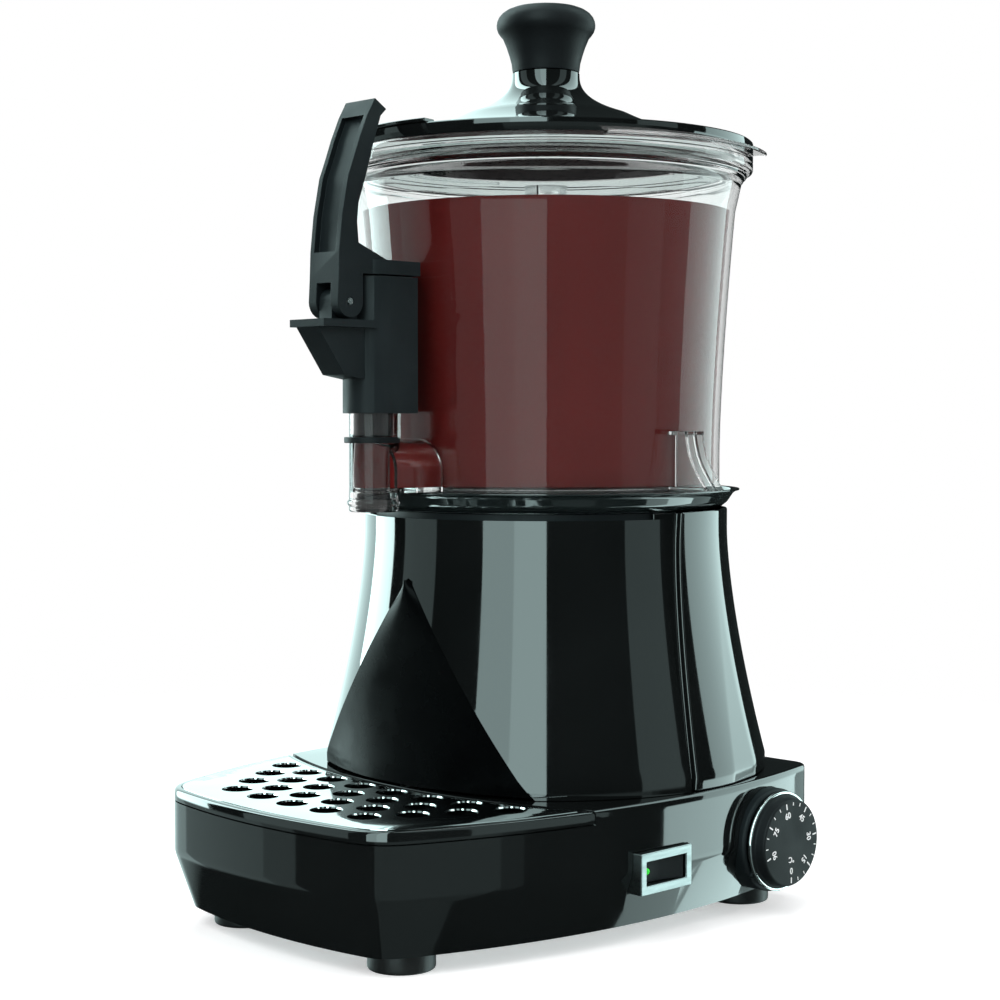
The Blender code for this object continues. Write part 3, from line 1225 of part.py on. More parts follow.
def build_spring(machine):
    """The tap's closing spring, one open coil between the piston and the housing's roof."""
    low = PISTON_TOP + GAP + SPRING_WIRE_RADIUS
    high = HOUSING_TOP - HOUSING_ROOF - GAP - SPRING_WIRE_RADIUS
    count = SPRING_TURNS * SPRING_POINTS_PER_TURN
    path = bpy.data.curves.new("tap_spring", "CURVE")
    path.dimensions = "3D"
    path.bevel_depth = SPRING_WIRE_RADIUS
    path.bevel_resolution = 1
    path.use_fill_caps = True
    line = path.splines.new("POLY")
    line.points.add(count)
    points = []
    for i in range(count + 1):
        turn = 2 * math.pi * i / SPRING_POINTS_PER_TURN
        points.append(Vector((SPRING_RADIUS * math.cos(turn), SPRING_RADIUS * math.sin(turn),
                              low + (high - low) * i / count)))
        line.points[i].co = (*points[i], 1.0)
    least = min((points[i] - points[j]).length for i in range(count + 1)
                for j in range(i + SPRING_POINTS_PER_TURN // 2, count + 1))
    print(f"tap_spring least gap to itself {(least - 2 * SPRING_WIRE_RADIUS) * 1000:.2f} mm")
    spring = bpy.data.objects.new("tap_spring", path)
    spring.parent = machine.root
    spring.location = (0, TAP_Y, 0)
    path.materials.append(make_material("tap_spring_finish", STEEL, 0.3, 1.0))
    bpy.context.collection.objects.link(spring)


def lid_slope(share):
    """Height of the lid's top from the shoulder, share 0, to the brim, share 1."""
    return LID_BRIM_TOP + (LID_SHOULDER_Z - LID_BRIM_TOP) * (1 - share) ** 2


def lid_neck(share):
    """Radius of the flare from the neck, share 0, down to the shoulder, share 1."""
    return LID_NECK_RADIUS + (LID_SHOULDER_RADIUS - LID_NECK_RADIUS) * share ** LID_FLARE_POWER


LID_NECK_SHARES = (0.0, 0.4, 0.7, 0.9)
LID_SLOPE_SHARES = (0.0, 0.25, 0.6, 1.0)
LID_SPIGOT_MEETS_SHARE = 0.9
KNOB_SIDE_SHARE = 0.25
KNOB_DOME_SHARES = (0.2, 0.5, 0.8, 0.97)
KNOB_DOME_NARROWING_SHARE = 0.6
KNOB_FLAT_SHARE = 0.35


def build_lid(machine):
    skirt = BOWL_RIM_TOP + GAP
    drop = LID_SHOULDER_Z - LID_NECK_TOP
    outer = [(0, LID_NECK_TOP)]
    neck_steps = len(LID_NECK_SHARES)
    for share in LID_NECK_SHARES:
        outer.append((lid_neck(share), LID_NECK_TOP + drop * share))
    edge = BOWL_RIM_RADIUS - LID_WALL / 4
    for share in LID_SLOPE_SHARES:
        outer.append((LID_SHOULDER_RADIUS + (edge - LID_SHOULDER_RADIUS) * share, lid_slope(share)))
    spigot = LID_SPIGOT_RADIUS
    spigot_foot = skirt - LID_SPIGOT_DEPTH
    inner = [(BOWL_RIM_RADIUS, LID_BRIM_TOP - LID_WALL / 4), (BOWL_RIM_RADIUS, skirt), (spigot, skirt),
             (spigot, spigot_foot), (spigot - LID_WALL, spigot_foot),
             (spigot - LID_WALL, lid_slope(LID_SPIGOT_MEETS_SHARE) - LID_WALL)]
    for share in reversed(LID_SLOPE_SHARES[:-1]):
        inner.append((LID_SHOULDER_RADIUS + (edge - LID_SHOULDER_RADIUS) * share - LID_WALL / 2,
                      lid_slope(share) - LID_WALL))
    for share in reversed(LID_NECK_SHARES[1:neck_steps - 1]):
        inner.append((lid_neck(share) - LID_WALL, LID_NECK_TOP + drop * share - LID_WALL))
    ceiling = LID_NECK_TOP + drop * LID_NECK_SHARES[1] - LID_WALL
    inner.append((0, ceiling))
    lid = machine.add("lid", turned(outer + inner), BLACK, 0.08)
    machine.cut(lid, rod(KNOB_SCREW_RADIUS + GAP, LID_SHOULDER_Z - LID_WALL * 2, LID_NECK_TOP + OVERRUN))
    foot = LID_NECK_TOP + GAP
    waist = (KNOB_WAIST_RADIUS, KNOB_WAIST_Z)
    rise = KNOB_TOP - KNOB_BULB_Z
    knob = [(0, foot), (LID_NECK_RADIUS, foot), waist,
            (KNOB_BULB_RADIUS, KNOB_BULB_Z - rise * KNOB_SIDE_SHARE)]
    for share in KNOB_DOME_SHARES:
        narrowing = (1 - math.sqrt(1 - share ** 2)) * KNOB_DOME_NARROWING_SHARE
        knob.append((KNOB_BULB_RADIUS * (1 - narrowing), KNOB_BULB_Z + rise * share))
    knob.append((KNOB_BULB_RADIUS * KNOB_FLAT_SHARE, KNOB_TOP))
    knob.append((0, KNOB_TOP))
    piece = machine.add("lid_knob", turned(knob, INNER_STEPS), MATT_BLACK, 0.55)
    machine.cut(piece, rod(KNOB_SCREW_RADIUS + GAP, foot - OVERRUN, foot + KNOB_SCREW_DEPTH))
    under = ceiling - GAP
    profile = screw_profile(KNOB_SCREW_HEAD_RADIUS, KNOB_SCREW_RADIUS, under - KNOB_SCREW_HEAD, under,
                            foot + KNOB_SCREW_DEPTH - GAP)
    machine.add("knob_screw", turned(profile, SMALL_STEPS), STEEL, 0.3, 1.0)


def build_tank(machine):
    floor = TANK_FOOT + TANK_WALL
    bore = TANK_TUBE_RADIUS - TANK_WALL
    flange = TANK_TOP - TANK_WALL
    profile = ((TANK_RADIUS, flange), (TANK_RADIUS, TANK_FOOT), (bore, TANK_FOOT), (bore, TANK_TOP),
               (TANK_TUBE_RADIUS, TANK_TOP), (TANK_TUBE_RADIUS, floor), (TANK_RADIUS - TANK_WALL, floor),
               (TANK_RADIUS - TANK_WALL, TANK_TOP), (TANK_FLANGE_RADIUS, TANK_TOP),
               (TANK_FLANGE_RADIUS, flange))
    tank = machine.add("water_tank", turned(profile, INNER_STEPS), STEEL, 0.3, 1.0)
    leg_holes = rod_group(ELEMENT_TUBE_RADIUS + GAP, TANK_FOOT - OVERRUN, floor + OVERRUN,
                          element_leg_places())
    machine.cut(tank, leg_holes)
    cutout = rod(CUTOUT_RADIUS, TANK_RADIUS + GAP, TANK_RADIUS + CUTOUT_DEPTH, (0, 0, CUTOUT_Z), "x")
    machine.add("safety_cutout", cutout, GREY, 0.4)


def element_leg_places():
    turn = math.radians(ELEMENT_OPEN_DEGREES / 2)
    return [(side * ELEMENT_RADIUS * math.sin(turn), ELEMENT_RADIUS * math.cos(turn), 0) for side in (1, -1)]


def build_element(machine):
    """A bent tube: down a leg, round the tank and up the other leg's line."""
    z = TANK_FOOT + ELEMENT_LIFT
    legs = element_leg_places()
    foot = TANK_FOOT - ELEMENT_LEG_DROP
    start = direction((0, 0), legs[0])
    sweep = -(2 * math.pi - math.radians(ELEMENT_OPEN_DEGREES))
    round_points = [Vector((x, y, z)) for x, y in arc((0, 0), ELEMENT_RADIUS, start, start + sweep, 24)]
    points = [Vector((legs[0][0], legs[0][1], foot))] + round_points + [Vector((legs[1][0], legs[1][1],
                                                                                foot))]
    path = bpy.data.curves.new("heating_element", "CURVE")
    path.dimensions = "3D"
    path.bevel_depth = ELEMENT_TUBE_RADIUS
    path.bevel_resolution = 1
    path.use_fill_caps = True
    line = path.splines.new("POLY")
    line.points.add(len(points) - 1)
    for i, point in enumerate(points):
        line.points[i].co = (*point, 1.0)
    element = bpy.data.objects.new("heating_element", path)
    element.parent = machine.root
    path.materials.append(make_material("heating_element_finish", STEEL, 0.4, 1.0))
    bpy.context.collection.objects.link(element)


BRACKET_TOP = TANK_FOOT - GAP
BRACKET_FOOT = BRACKET_TOP - BRACKET_THICKNESS


def motor_screw_places():
    return [(MOTOR_SCREW_CIRCLE * math.cos(2 * math.pi * i / 3),
             MOTOR_SCREW_CIRCLE * math.sin(2 * math.pi * i / 3), 0)
            for i in range(3)]


def build_motor(machine):
    plate = rod(BRACKET_RADIUS, BRACKET_FOOT, BRACKET_TOP, steps=28)
    bracket = machine.add("motor_bracket", plate, STEEL, 0.4, 1.0)
    below = BRACKET_FOOT - OVERRUN
    above = BRACKET_TOP + OVERRUN
    machine.cut(bracket, rod(BRACKET_BORE_RADIUS, below, above))
    machine.cut(bracket, rod_group(ELEMENT_TUBE_RADIUS + GAP, below, above, element_leg_places()))
    sink = BRACKET_TOP - MOTOR_SCREW_HEAD - GAP
    hole = MOTOR_SCREW_RADIUS + GAP
    wide = MOTOR_SCREW_HEAD_RADIUS + GAP
    stepped = ((0, below), (hole, below), (hole, sink), (wide, sink), (wide, above), (0, above))
    machine.cut(bracket, many_turned(stepped, motor_screw_places()))
    for i in range(BRACKET_LEGS):
        out = Vector((*polar(1, 360 * i / BRACKET_LEGS), 0))
        across = Vector((-out.y, out.x, 0)) * BRACKET_LEG_WIDTH / 2
        near = BRACKET_RADIUS - BRACKET_LEG_FOOT
        toe = DECK_HOLE_RADIUS + OVERRUN
        shin = BRACKET_LEG_OUT - BRACKET_THICKNESS
        high = BRACKET_TOP - GAP
        low = BRACKET_FOOT + GAP
        instep = COLUMN_FOOT + BRACKET_THICKNESS
        side = ((near, low), (near, high), (BRACKET_LEG_OUT, high), (BRACKET_LEG_OUT, COLUMN_FOOT),
                (toe, COLUMN_FOOT), (toe, instep), (shin, instep), (shin, low))
        loops = [[out * reach + edge + Vector((0, 0, z)) for reach, z in side] for edge in (-across, across)]
        machine.join(bracket, loft(loops))
    gear_top = BRACKET_FOOT - GAP
    gear_foot = gear_top - GEARBOX_HEIGHT
    socket = SHAFT_RADIUS + RUN_GAP
    profile = ((socket, gear_top + MOTOR_HUB_HEIGHT), (socket, gear_top - MOTOR_SOCKET_DEPTH),
               (0, gear_top - MOTOR_SOCKET_DEPTH), (0, gear_foot - MOTOR_HEIGHT),
               (MOTOR_RADIUS, gear_foot - MOTOR_HEIGHT), (MOTOR_RADIUS, gear_foot),
               (GEARBOX_RADIUS, gear_foot),
               (GEARBOX_RADIUS, gear_top), (MOTOR_HUB_RADIUS, gear_top),
               (MOTOR_HUB_RADIUS, gear_top + MOTOR_HUB_HEIGHT))
    motor = machine.add("gear_motor", turned(profile, 28), GREY, 0.4, 0.6)
    screw_foot = BRACKET_TOP - MOTOR_SCREW_LENGTH
    machine.cut(motor, rod_group(MOTOR_SCREW_RADIUS + GAP, screw_foot - GAP, gear_top + OVERRUN,
                                 motor_screw_places()))
    screw = screw_profile(MOTOR_SCREW_HEAD_RADIUS, MOTOR_SCREW_RADIUS, sink + GAP, BRACKET_TOP, screw_foot)
    machine.add_each("motor_screw", screw, motor_screw_places(), ("first", "second", "third"), TINY_STEPS,
                     STEEL, 0.35, 1.0)


def build_drive(machine):
    foot = BRACKET_FOOT - GAP - MOTOR_SOCKET_DEPTH + GAP
    machine.add("drive_shaft", rod(SHAFT_RADIUS, foot, SHAFT_TOP), STEEL, 0.25, 1.0)
    inner = SHAFT_RADIUS + RUN_GAP
    outer = CENTRE_TUBE_BORE - GAP
    places = ((0, 0, CENTRE_TUBE_FOOT), (0, 0, CENTRE_TUBE_TOP - BUSH_HEIGHT))
    bush = ((inner, 0), (outer, 0), (outer, BUSH_HEIGHT), (inner, BUSH_HEIGHT))
    machine.add_each("shaft_bush", bush, places, ("lower", "upper"), SMALL_STEPS, BRASS, 0.3, 1.0)


def build_stirrer(machine):
    socket = SHAFT_RADIUS + GAP
    profile = ((SLEEVE_BORE, SLEEVE_FOOT), (SLEEVE_RADIUS, SLEEVE_FOOT), (SLEEVE_RADIUS, SLEEVE_TOP),
               (0, SLEEVE_TOP), (0, SHAFT_TOP + GAP), (socket, SHAFT_TOP + GAP), (socket, SLEEVE_SOCKET_FOOT),
               (SLEEVE_BORE, SLEEVE_SOCKET_FOOT))
    stirrer = machine.add("stirrer", turned(profile, 28), STEEL, 0.1, 1.0)
    for i in range(PADDLES):
        side = 1 - 2 * i
        near = side * (SLEEVE_BORE + SLEEVE_RADIUS) / 2
        arm = sorted((near, side * PADDLE_REACH))
        blade = sorted((side * BLADE_INNER, side * PADDLE_REACH))
        half = PADDLE_THICKNESS / 2
        machine.join(stirrer, box(arm, (-half, half), (SLEEVE_FOOT, SLEEVE_FOOT + PADDLE_HEIGHT)),
                     box(blade, (-half + GAP, half - GAP), (SLEEVE_FOOT + GAP, SLEEVE_FOOT + BLADE_HEIGHT)))


def tilted(mesh, pivot):
    """Turn a shape about the rocker's upright axis to the position in which its front end is pressed."""
    there = Matrix.Translation(Vector(pivot))
    mesh.transform(there @ Matrix.Rotation(math.radians(ROCKER_REST_DEGREES), 4, "Z") @ there.inverted())
    return mesh


def build_switch(machine):
    half_length = SWITCH_LENGTH / 2
    half_height = SWITCH_HEIGHT / 2
    back = SWITCH_FACE - SWITCH_DEPTH
    frame = box((back, SWITCH_FACE), (SWITCH_Y - half_length, SWITCH_Y + half_length),
                (SWITCH_Z - half_height, SWITCH_Z + half_height))
    piece = machine.add("switch_frame", frame, STEEL, 0.3, 0.8, smooth=False)
    machine.cut(piece, box((back - OVERRUN, SWITCH_FACE + OVERRUN),
                           (SWITCH_Y - SWITCH_OPEN_LENGTH / 2, SWITCH_Y + SWITCH_OPEN_LENGTH / 2),
                           (SWITCH_Z - SWITCH_OPEN_HEIGHT / 2, SWITCH_Z + SWITCH_OPEN_HEIGHT / 2)))
    outline = ((ROCKER_PIVOT_X + ROCKER_END_FACE, SWITCH_Y - ROCKER_HALF_LENGTH),
               (ROCKER_PIVOT_X + ROCKER_MIDDLE_FACE, SWITCH_Y),
               (ROCKER_PIVOT_X + ROCKER_END_FACE, SWITCH_Y + ROCKER_HALF_LENGTH),
               (ROCKER_PIVOT_X - ROCKER_END_BACK, SWITCH_Y + ROCKER_HALF_LENGTH),
               (ROCKER_PIVOT_X - ROCKER_MIDDLE_BACK, SWITCH_Y),
               (ROCKER_PIVOT_X - ROCKER_END_BACK, SWITCH_Y - ROCKER_HALF_LENGTH))
    pivot = (ROCKER_PIVOT_X, SWITCH_Y, SWITCH_Z)
    shape = tilted(prism(outline, SWITCH_Z - ROCKER_HALF_HEIGHT, SWITCH_Z + ROCKER_HALF_HEIGHT), pivot)
    rocker = machine.add("switch_rocker", shape, MATT_BLACK, 0.35, origin=pivot, smooth=False)
    lamp_place = (0, SWITCH_Y - LAMP_OUT, SWITCH_Z)
    slope = (ROCKER_END_FACE - ROCKER_MIDDLE_FACE) * LAMP_OUT / ROCKER_HALF_LENGTH
    lamp_face = ROCKER_PIVOT_X + ROCKER_MIDDLE_FACE + slope + LAMP_PROUD
    lamp_back = lamp_face - LAMP_LENGTH
    hole = rod(LAMP_RADIUS + GAP, lamp_back - GAP, SWITCH_FACE, lamp_place, "x", TINY_STEPS)
    machine.cut(rocker, tilted(hole, pivot))
    lamp = rod(LAMP_RADIUS, lamp_back, lamp_face, lamp_place, "x", TINY_STEPS)
    machine.add("switch_lamp", tilted(lamp, pivot), LAMP_GREEN, 0.3, origin=pivot)
    body_half = SWITCH_OPEN_LENGTH / 2 + (SWITCH_LENGTH - SWITCH_OPEN_LENGTH) / 4
    body = box((back - SWITCH_BODY_DEPTH, back - GAP), (SWITCH_Y - body_half, SWITCH_Y + body_half),
               (SWITCH_Z - half_height + BASE_WALL / 2, SWITCH_Z + half_height - BASE_WALL / 2))
    machine.add("switch_body", body, MATT_BLACK, 0.5, smooth=False)


def build_thermostat(machine):
    centre = (0, THERMOSTAT_Y, THERMOSTAT_Z)
    bore = SPINDLE_RADIUS + RUN_GAP
    floor = BEZEL_FACE - BEZEL_RECESS
    bezel = ((bore, BEZEL_BACK), (BEZEL_RADIUS, BEZEL_BACK), (BEZEL_RADIUS, BEZEL_FACE),
             (BEZEL_RADIUS - BEZEL_WALL, BEZEL_FACE), (BEZEL_RADIUS - BEZEL_WALL, floor), (bore, floor))
    machine.add("thermostat_bezel", turned(bezel, INNER_STEPS, centre, "x"), MATT_BLACK, 0.4)
    skirt = KNOB_RING_RADIUS
    ring_seat = KNOB_GRIP_RADIUS + (KNOB_RING_RADIUS - KNOB_GRIP_RADIUS) / 3
    hub = SPINDLE_RADIUS + GAP
    socket = DIAL_FACE - BEZEL_WALL * 2
    knob = ((hub, KNOB_SKIRT_FACE), (skirt, KNOB_SKIRT_FACE), (skirt, KNOB_RING_FOOT - GAP),
            (ring_seat - GAP, KNOB_RING_FOOT - GAP), (ring_seat - GAP, KNOB_RING_FACE),
            (KNOB_GRIP_RADIUS, KNOB_RING_FACE), (DIAL_RADIUS, DIAL_FACE - BEZEL_WALL / 4),
            (DIAL_RADIUS - BEZEL_WALL / 4, DIAL_FACE), (0, DIAL_FACE), (0, socket), (hub, socket))
    machine.add("thermostat_knob", turned(knob, INNER_STEPS, centre, "x"), MATT_BLACK, 0.35, origin=centre)
    machine.add("knob_ring", ring(ring_seat, KNOB_RING_RADIUS, KNOB_RING_FOOT, KNOB_RING_FACE, centre, "x",
                                  INNER_STEPS), STEEL, 0.08, 1.0, origin=centre)
    body_face = BEZEL_BACK - GAP
    machine.add("thermostat_spindle", rod(SPINDLE_RADIUS, body_face - SPINDLE_REACH + GAP, socket - GAP,
                                          centre, "x"),
                STEEL, 0.3, 1.0, origin=centre)
    half = THERMOSTAT_BODY_HALF
    body = box((body_face - THERMOSTAT_BODY_DEPTH, body_face), (THERMOSTAT_Y - half, THERMOSTAT_Y + half),
               (THERMOSTAT_Z - half, THERMOSTAT_Z + half))
    piece = machine.add("thermostat_body", body, STEEL, 0.4, 0.9, smooth=False)
    machine.cut(piece, rod(bore, body_face - SPINDLE_REACH, body_face + OVERRUN, centre, "x"))


def build_back_fittings(machine):
    place = (GLAND_X, 0, GLAND_Z)
    out = BASE_BACK + GAP
    profile = ((GLAND_BORE_RADIUS, BASE_BACK - GLAND_DEPTH), (GLAND_RADIUS, BASE_BACK - GLAND_DEPTH),
               (GLAND_RADIUS, out), (GLAND_FLANGE_RADIUS, out), (GLAND_FLANGE_RADIUS, out + GLAND_FLANGE),
               (GLAND_BORE_RADIUS, out + GLAND_FLANGE))
    machine.add("cord_gland", turned(profile, SMALL_STEPS, place, "y"), MATT_BLACK, 0.6)
    low = PLATE_FOOT + PLATE_THICKNESS + GAP
    block = box((TERMINAL_X - TERMINAL_LENGTH / 2, TERMINAL_X + TERMINAL_LENGTH / 2),
                (TERMINAL_Y - TERMINAL_WIDTH / 2, TERMINAL_Y + TERMINAL_WIDTH / 2),
                (low, low + TERMINAL_HEIGHT))
    piece = machine.add("terminal_block", block, OFF_WHITE, 0.5, smooth=False)
    for i in (-1, 0, 1):
        x = TERMINAL_X + i * TERMINAL_LENGTH / 3
        machine.cut(piece, rod(TERMINAL_BOSS, low + TERMINAL_HEIGHT / 2, low + TERMINAL_HEIGHT + OVERRUN,
                               (x, TERMINAL_Y, 0), steps=TINY_STEPS))


def main():
    clear_scene()
    machine = Machine()
    build_base(machine)
    build_base_plate(machine)
    build_feet(machine)
    build_tray(machine)
    build_grille(machine)
    build_front_shell(machine)
    build_back_shell(machine)
    build_column_screws(machine)
    build_front_panel(machine)
    build_collar_and_gutter(machine)
    build_heated_plate(machine)
    build_bowl(machine)
    build_tap_housing(machine)
    build_lever(machine)
    build_piston(machine)
    build_spring(machine)
    build_lid(machine)
    build_tank(machine)
    build_element(machine)
    build_motor(machine)
    build_drive(machine)
    build_stirrer(machine)
    build_switch(machine)
    build_thermostat(machine)
    build_back_fittings(machine)


main()
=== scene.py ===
"""Looks of the hot chocolate dispenser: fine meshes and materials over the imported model, in its frame.

Lengths are metres. Shapes are built about the bowl's axis with the front towards -Y, and SHIFT puts them in the
frame.
"""
import json
import math

import bmesh
import bpy
from mathutils import Matrix, Vector


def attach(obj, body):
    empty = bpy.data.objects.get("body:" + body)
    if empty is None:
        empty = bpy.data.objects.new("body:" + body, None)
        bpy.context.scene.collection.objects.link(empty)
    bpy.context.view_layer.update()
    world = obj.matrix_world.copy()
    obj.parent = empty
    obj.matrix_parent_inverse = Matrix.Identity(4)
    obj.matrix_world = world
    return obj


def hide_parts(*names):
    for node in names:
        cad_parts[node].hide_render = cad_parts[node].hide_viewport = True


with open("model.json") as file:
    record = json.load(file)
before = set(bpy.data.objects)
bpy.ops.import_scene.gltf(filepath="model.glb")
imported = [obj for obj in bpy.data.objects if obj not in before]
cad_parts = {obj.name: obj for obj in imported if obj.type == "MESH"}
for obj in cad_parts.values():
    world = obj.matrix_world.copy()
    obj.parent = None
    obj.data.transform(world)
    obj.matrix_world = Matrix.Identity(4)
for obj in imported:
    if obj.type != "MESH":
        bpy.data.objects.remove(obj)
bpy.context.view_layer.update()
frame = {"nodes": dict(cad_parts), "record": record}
SHIFT = Vector((-0.0056, 0.04295, 0.0))

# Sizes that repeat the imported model's
BASE_HALF_WIDTH = 0.116
BASE_FRONT = 0.192
BASE_BACK = 0.093
BASE_SIDE_RADIUS = 0.381
BASE_SIDE_MIDDLE = -0.016
BASE_FRONT_RADIUS = 0.330
BASE_FRONT_CORNER = 0.027
BASE_BACK_CORNER = 0.010
LEAST_CORNER = 0.0015
BASE_BOTTOM = 0.010
BASE_CREASE = 0.0375
BASE_TAPER = 0.0093
BASE_EDGE = 0.0045
BASE_TOP = 0.0684
BASE_WALL = 0.0028
TRAY_BACK = 0.1053
TRAY_BACK_RADIUS = 0.260
TRAY_BAND = 0.006
TRAY_TOP = 0.0680
TRAY_FLOOR = 0.0392
GRILLE_INSET = 0.0036
GRILLE_THICKNESS = 0.0015
HOLE_RADIUS = 0.00715
HOLE_PITCH = 0.0234
HOLE_ROW_FRONT = 0.1673
HOLE_ROW_PITCH = 0.0168
HOLE_ROW_BOW_RADIUS = 0.312
HOLE_COUNTS_BY_ROW = (5, 6, 7, 8)
COLUMN_TOP_RADIUS = 0.0937
COLUMN_FLARE = 0.0205
COLUMN_FLARE_START = 0.190
COLUMN_FLARE_HEIGHT = 0.117
COLUMN_FLARE_POWER = 1.5
COLUMN_FOOT_RADIUS = 0.1136
COLUMN_FOOT = 0.0687
FRONT_SHELL_TOP = 0.198
BACK_SHELL_TOP = 0.201
SHELL_WALL = 0.0025
FRONT_SHELL_EDGE = 82.3
RECESS_EDGE_TOP = 88.9
RECESS_EDGE_FOOT = 83.2
RECESS_LAP = 79.5
RECESS_DEPTH = 0.0031
PANEL_TOP = 0.168
PANEL_FOOT = 0.0698
PANEL_PEAK = 0.1696
PANEL_SLOPE = 0.75
PANEL_TOP_Y = 0.0983
PANEL_MIDDLE_Y = 0.0997
PANEL_MIDDLE_Z = 0.120
PANEL_FOOT_Y = 0.1046
PANEL_THICKNESS = 0.0026
BOWL_WAIST_RADIUS = 0.0897
BOWL_FLARE = 0.0074
BOWL_FLARE_START = 0.230
BOWL_FLARE_HEIGHT = 0.1216
BOWL_FLARE_POWER = 1.45
BOWL_WALL = 0.0028
BOWL_FOOT = 0.2036
BOWL_RIM_RADIUS = 0.1061
BOWL_RIM_TOP = 0.3799
BOWL_SHOULDER_RADIUS = 0.1005
BOWL_SHOULDER_Z = 0.3668
LIP_RADIUS = 0.114
TAP_Y = -0.1175
TAP_PLACE = (0, TAP_Y, 0)
THERMOSTAT = (0.0, 0.0435, 0.0378)
GAP = 0.0003

# Shapes that only the scene has
FACET_TOP = 0.168
FACET_MIDDLE = 108.0
FACET_LEFT = 10.0
FACET_RIGHT = 3.0
DUCT_CHANNEL_ENDS = (TAP_Y, -0.0800)
LID_TOP = 0.4236
LID_CROWN_HEIGHT = 0.0216
LID_CROWN_STEPS = 16
LID_NECK_RADIUS = 0.0173
LID_NECK_FLARE = 0.0259
LID_NECK_POWER = 2.6
LID_SLOPE_RADIUS = 0.0432
LID_SLOPE_FOOT = 0.3864
LID_SLOPE_RISE = 0.0156
LID_SLOPE_STEPS = 20
LID_BRIM_RADIUS = 0.1054
LID_WALL = 0.0025
DIAL_FACE = 0.1270
PRINT_TOP = 0.1272
NUMBER_STEP = 48.0
SHARP_ANGLE = 32.0

# Camera, found from the photograph
LENS = 71.607
CAMERA_PLACE = (0.7171, -0.69495, 0.2452)
CAMERA_AZIMUTH = 44.403
CAMERA_YAW = 1.314
CAMERA_PITCH = 2.265


def slot_default(shader, **values):
    for name, value in values.items():
        shader.inputs[name.replace("_", " ")].default_value = value


def new_material(name):
    made = bpy.data.materials.new(name)
    made.use_nodes = True
    tree = made.node_tree
    shader = tree.nodes["Principled BSDF"]
    return made, tree, shader


def noise(tree, scale, detail=3.0, roughness=0.5, stretch=None):
    """A noise texture in object coordinates, stretched along an axis if asked."""
    place = tree.nodes.new("ShaderNodeTexCoord")
    texture = tree.nodes.new("ShaderNodeTexNoise")
    texture.inputs["Scale"].default_value = scale
    texture.inputs["Detail"].default_value = detail
    texture.inputs["Roughness"].default_value = roughness
    if stretch is None:
        tree.links.new(place.outputs["Object"], texture.inputs["Vector"])
    else:
        mapping = tree.nodes.new("ShaderNodeMapping")
        mapping.inputs["Scale"].default_value = stretch
        tree.links.new(place.outputs["Object"], mapping.inputs["Vector"])
        tree.links.new(mapping.outputs["Vector"], texture.inputs["Vector"])
    return texture.outputs["Fac"]


def spread(tree, source, low, high, start=0.3, end=0.7):
    """Map a noise to a range of numbers."""
    node = tree.nodes.new("ShaderNodeMapRange")
    node.inputs["From Min"].default_value = start
    node.inputs["From Max"].default_value = end
    node.inputs["To Min"].default_value = low
    node.inputs["To Max"].default_value = high
    tree.links.new(source, node.inputs["Value"])
    return node.outputs["Result"]


def tint(tree, source, dark, light, start=0.3, end=0.7):
    """Blend two colours by a noise."""
    ramp = tree.nodes.new("ShaderNodeValToRGB")
    ramp.color_ramp.elements[0].position = start
    ramp.color_ramp.elements[0].color = (*dark, 1.0)
    ramp.color_ramp.elements[1].position = end
    ramp.color_ramp.elements[1].color = (*light, 1.0)
    tree.links.new(source, ramp.inputs["Fac"])
    return ramp.outputs["Color"]


def bump(tree, shader, source, strength, distance):
    node = tree.nodes.new("ShaderNodeBump")
    node.inputs["Strength"].default_value = strength
    node.inputs["Distance"].default_value = distance
    tree.links.new(source, node.inputs["Height"])
    tree.links.new(node.outputs["Normal"], shader.inputs["Normal"])


def surface(tree, shader, colour, roughness):
    tree.links.new(colour, shader.inputs["Base Color"])
    tree.links.new(roughness, shader.inputs["Roughness"])


def gloss_plastic(name, dark, light, low=0.035, high=0.075):
    """Polished moulding: faint orange peel, slightly uneven polish and a hard clear coat."""
    made, tree, shader = new_material(name)
    surface(tree, shader, tint(tree, noise(tree, 9.0), dark, light), spread(tree, noise(tree, 34.0), low, high))
    slot_default(shader, IOR=1.5, Coat_Weight=0.8, Coat_Roughness=0.03, Coat_IOR=1.5)
    bump(tree, shader, noise(tree, 120.0, 1.0), 0.015, 0.0002)
    return made


def matt_plastic(name, dark, light, rough, grain=900.0, depth=0.00012, strength=0.35, ior=1.46):
    """Moulding with a fine spark-eroded grain."""
    made, tree, shader = new_material(name)
    surface(tree, shader, tint(tree, noise(tree, 26.0, 4.0), dark, light),
            spread(tree, noise(tree, 60.0), rough - 0.06, rough + 0.06))
    slot_default(shader, IOR=ior)
    bump(tree, shader, noise(tree, grain, 2.0, 0.6), strength, depth)
    return made


def metal(name, dark, light, low, high, stretch=None, scale=160.0, strength=0.05):
    made, tree, shader = new_material(name)
    surface(tree, shader, tint(tree, noise(tree, 30.0, 3.0, 0.5, stretch), dark, light),
            spread(tree, noise(tree, scale, 4.0, 0.6, stretch), low, high))
    slot_default(shader, Metallic=1.0)
    bump(tree, shader, noise(tree, scale * 2, 2.0, 0.5, stretch), strength, 0.0001)
    return made


def clear_plastic(name, dark, light):
    """Injection moulded polycarbonate with a very slight waviness."""
    made, tree, shader = new_material(name)
    surface(tree, shader, tint(tree, noise(tree, 7.0), dark, light),
            spread(tree, noise(tree, 22.0), 0.004, 0.014))
    slot_default(shader, IOR=1.5, Transmission_Weight=1.0)
    shader.inputs["Specular Tint"].default_value = (0.36, 0.33, 0.33, 1.0)
    bump(tree, shader, noise(tree, 14.0, 0.0), 0.006, 0.0004)
    return made


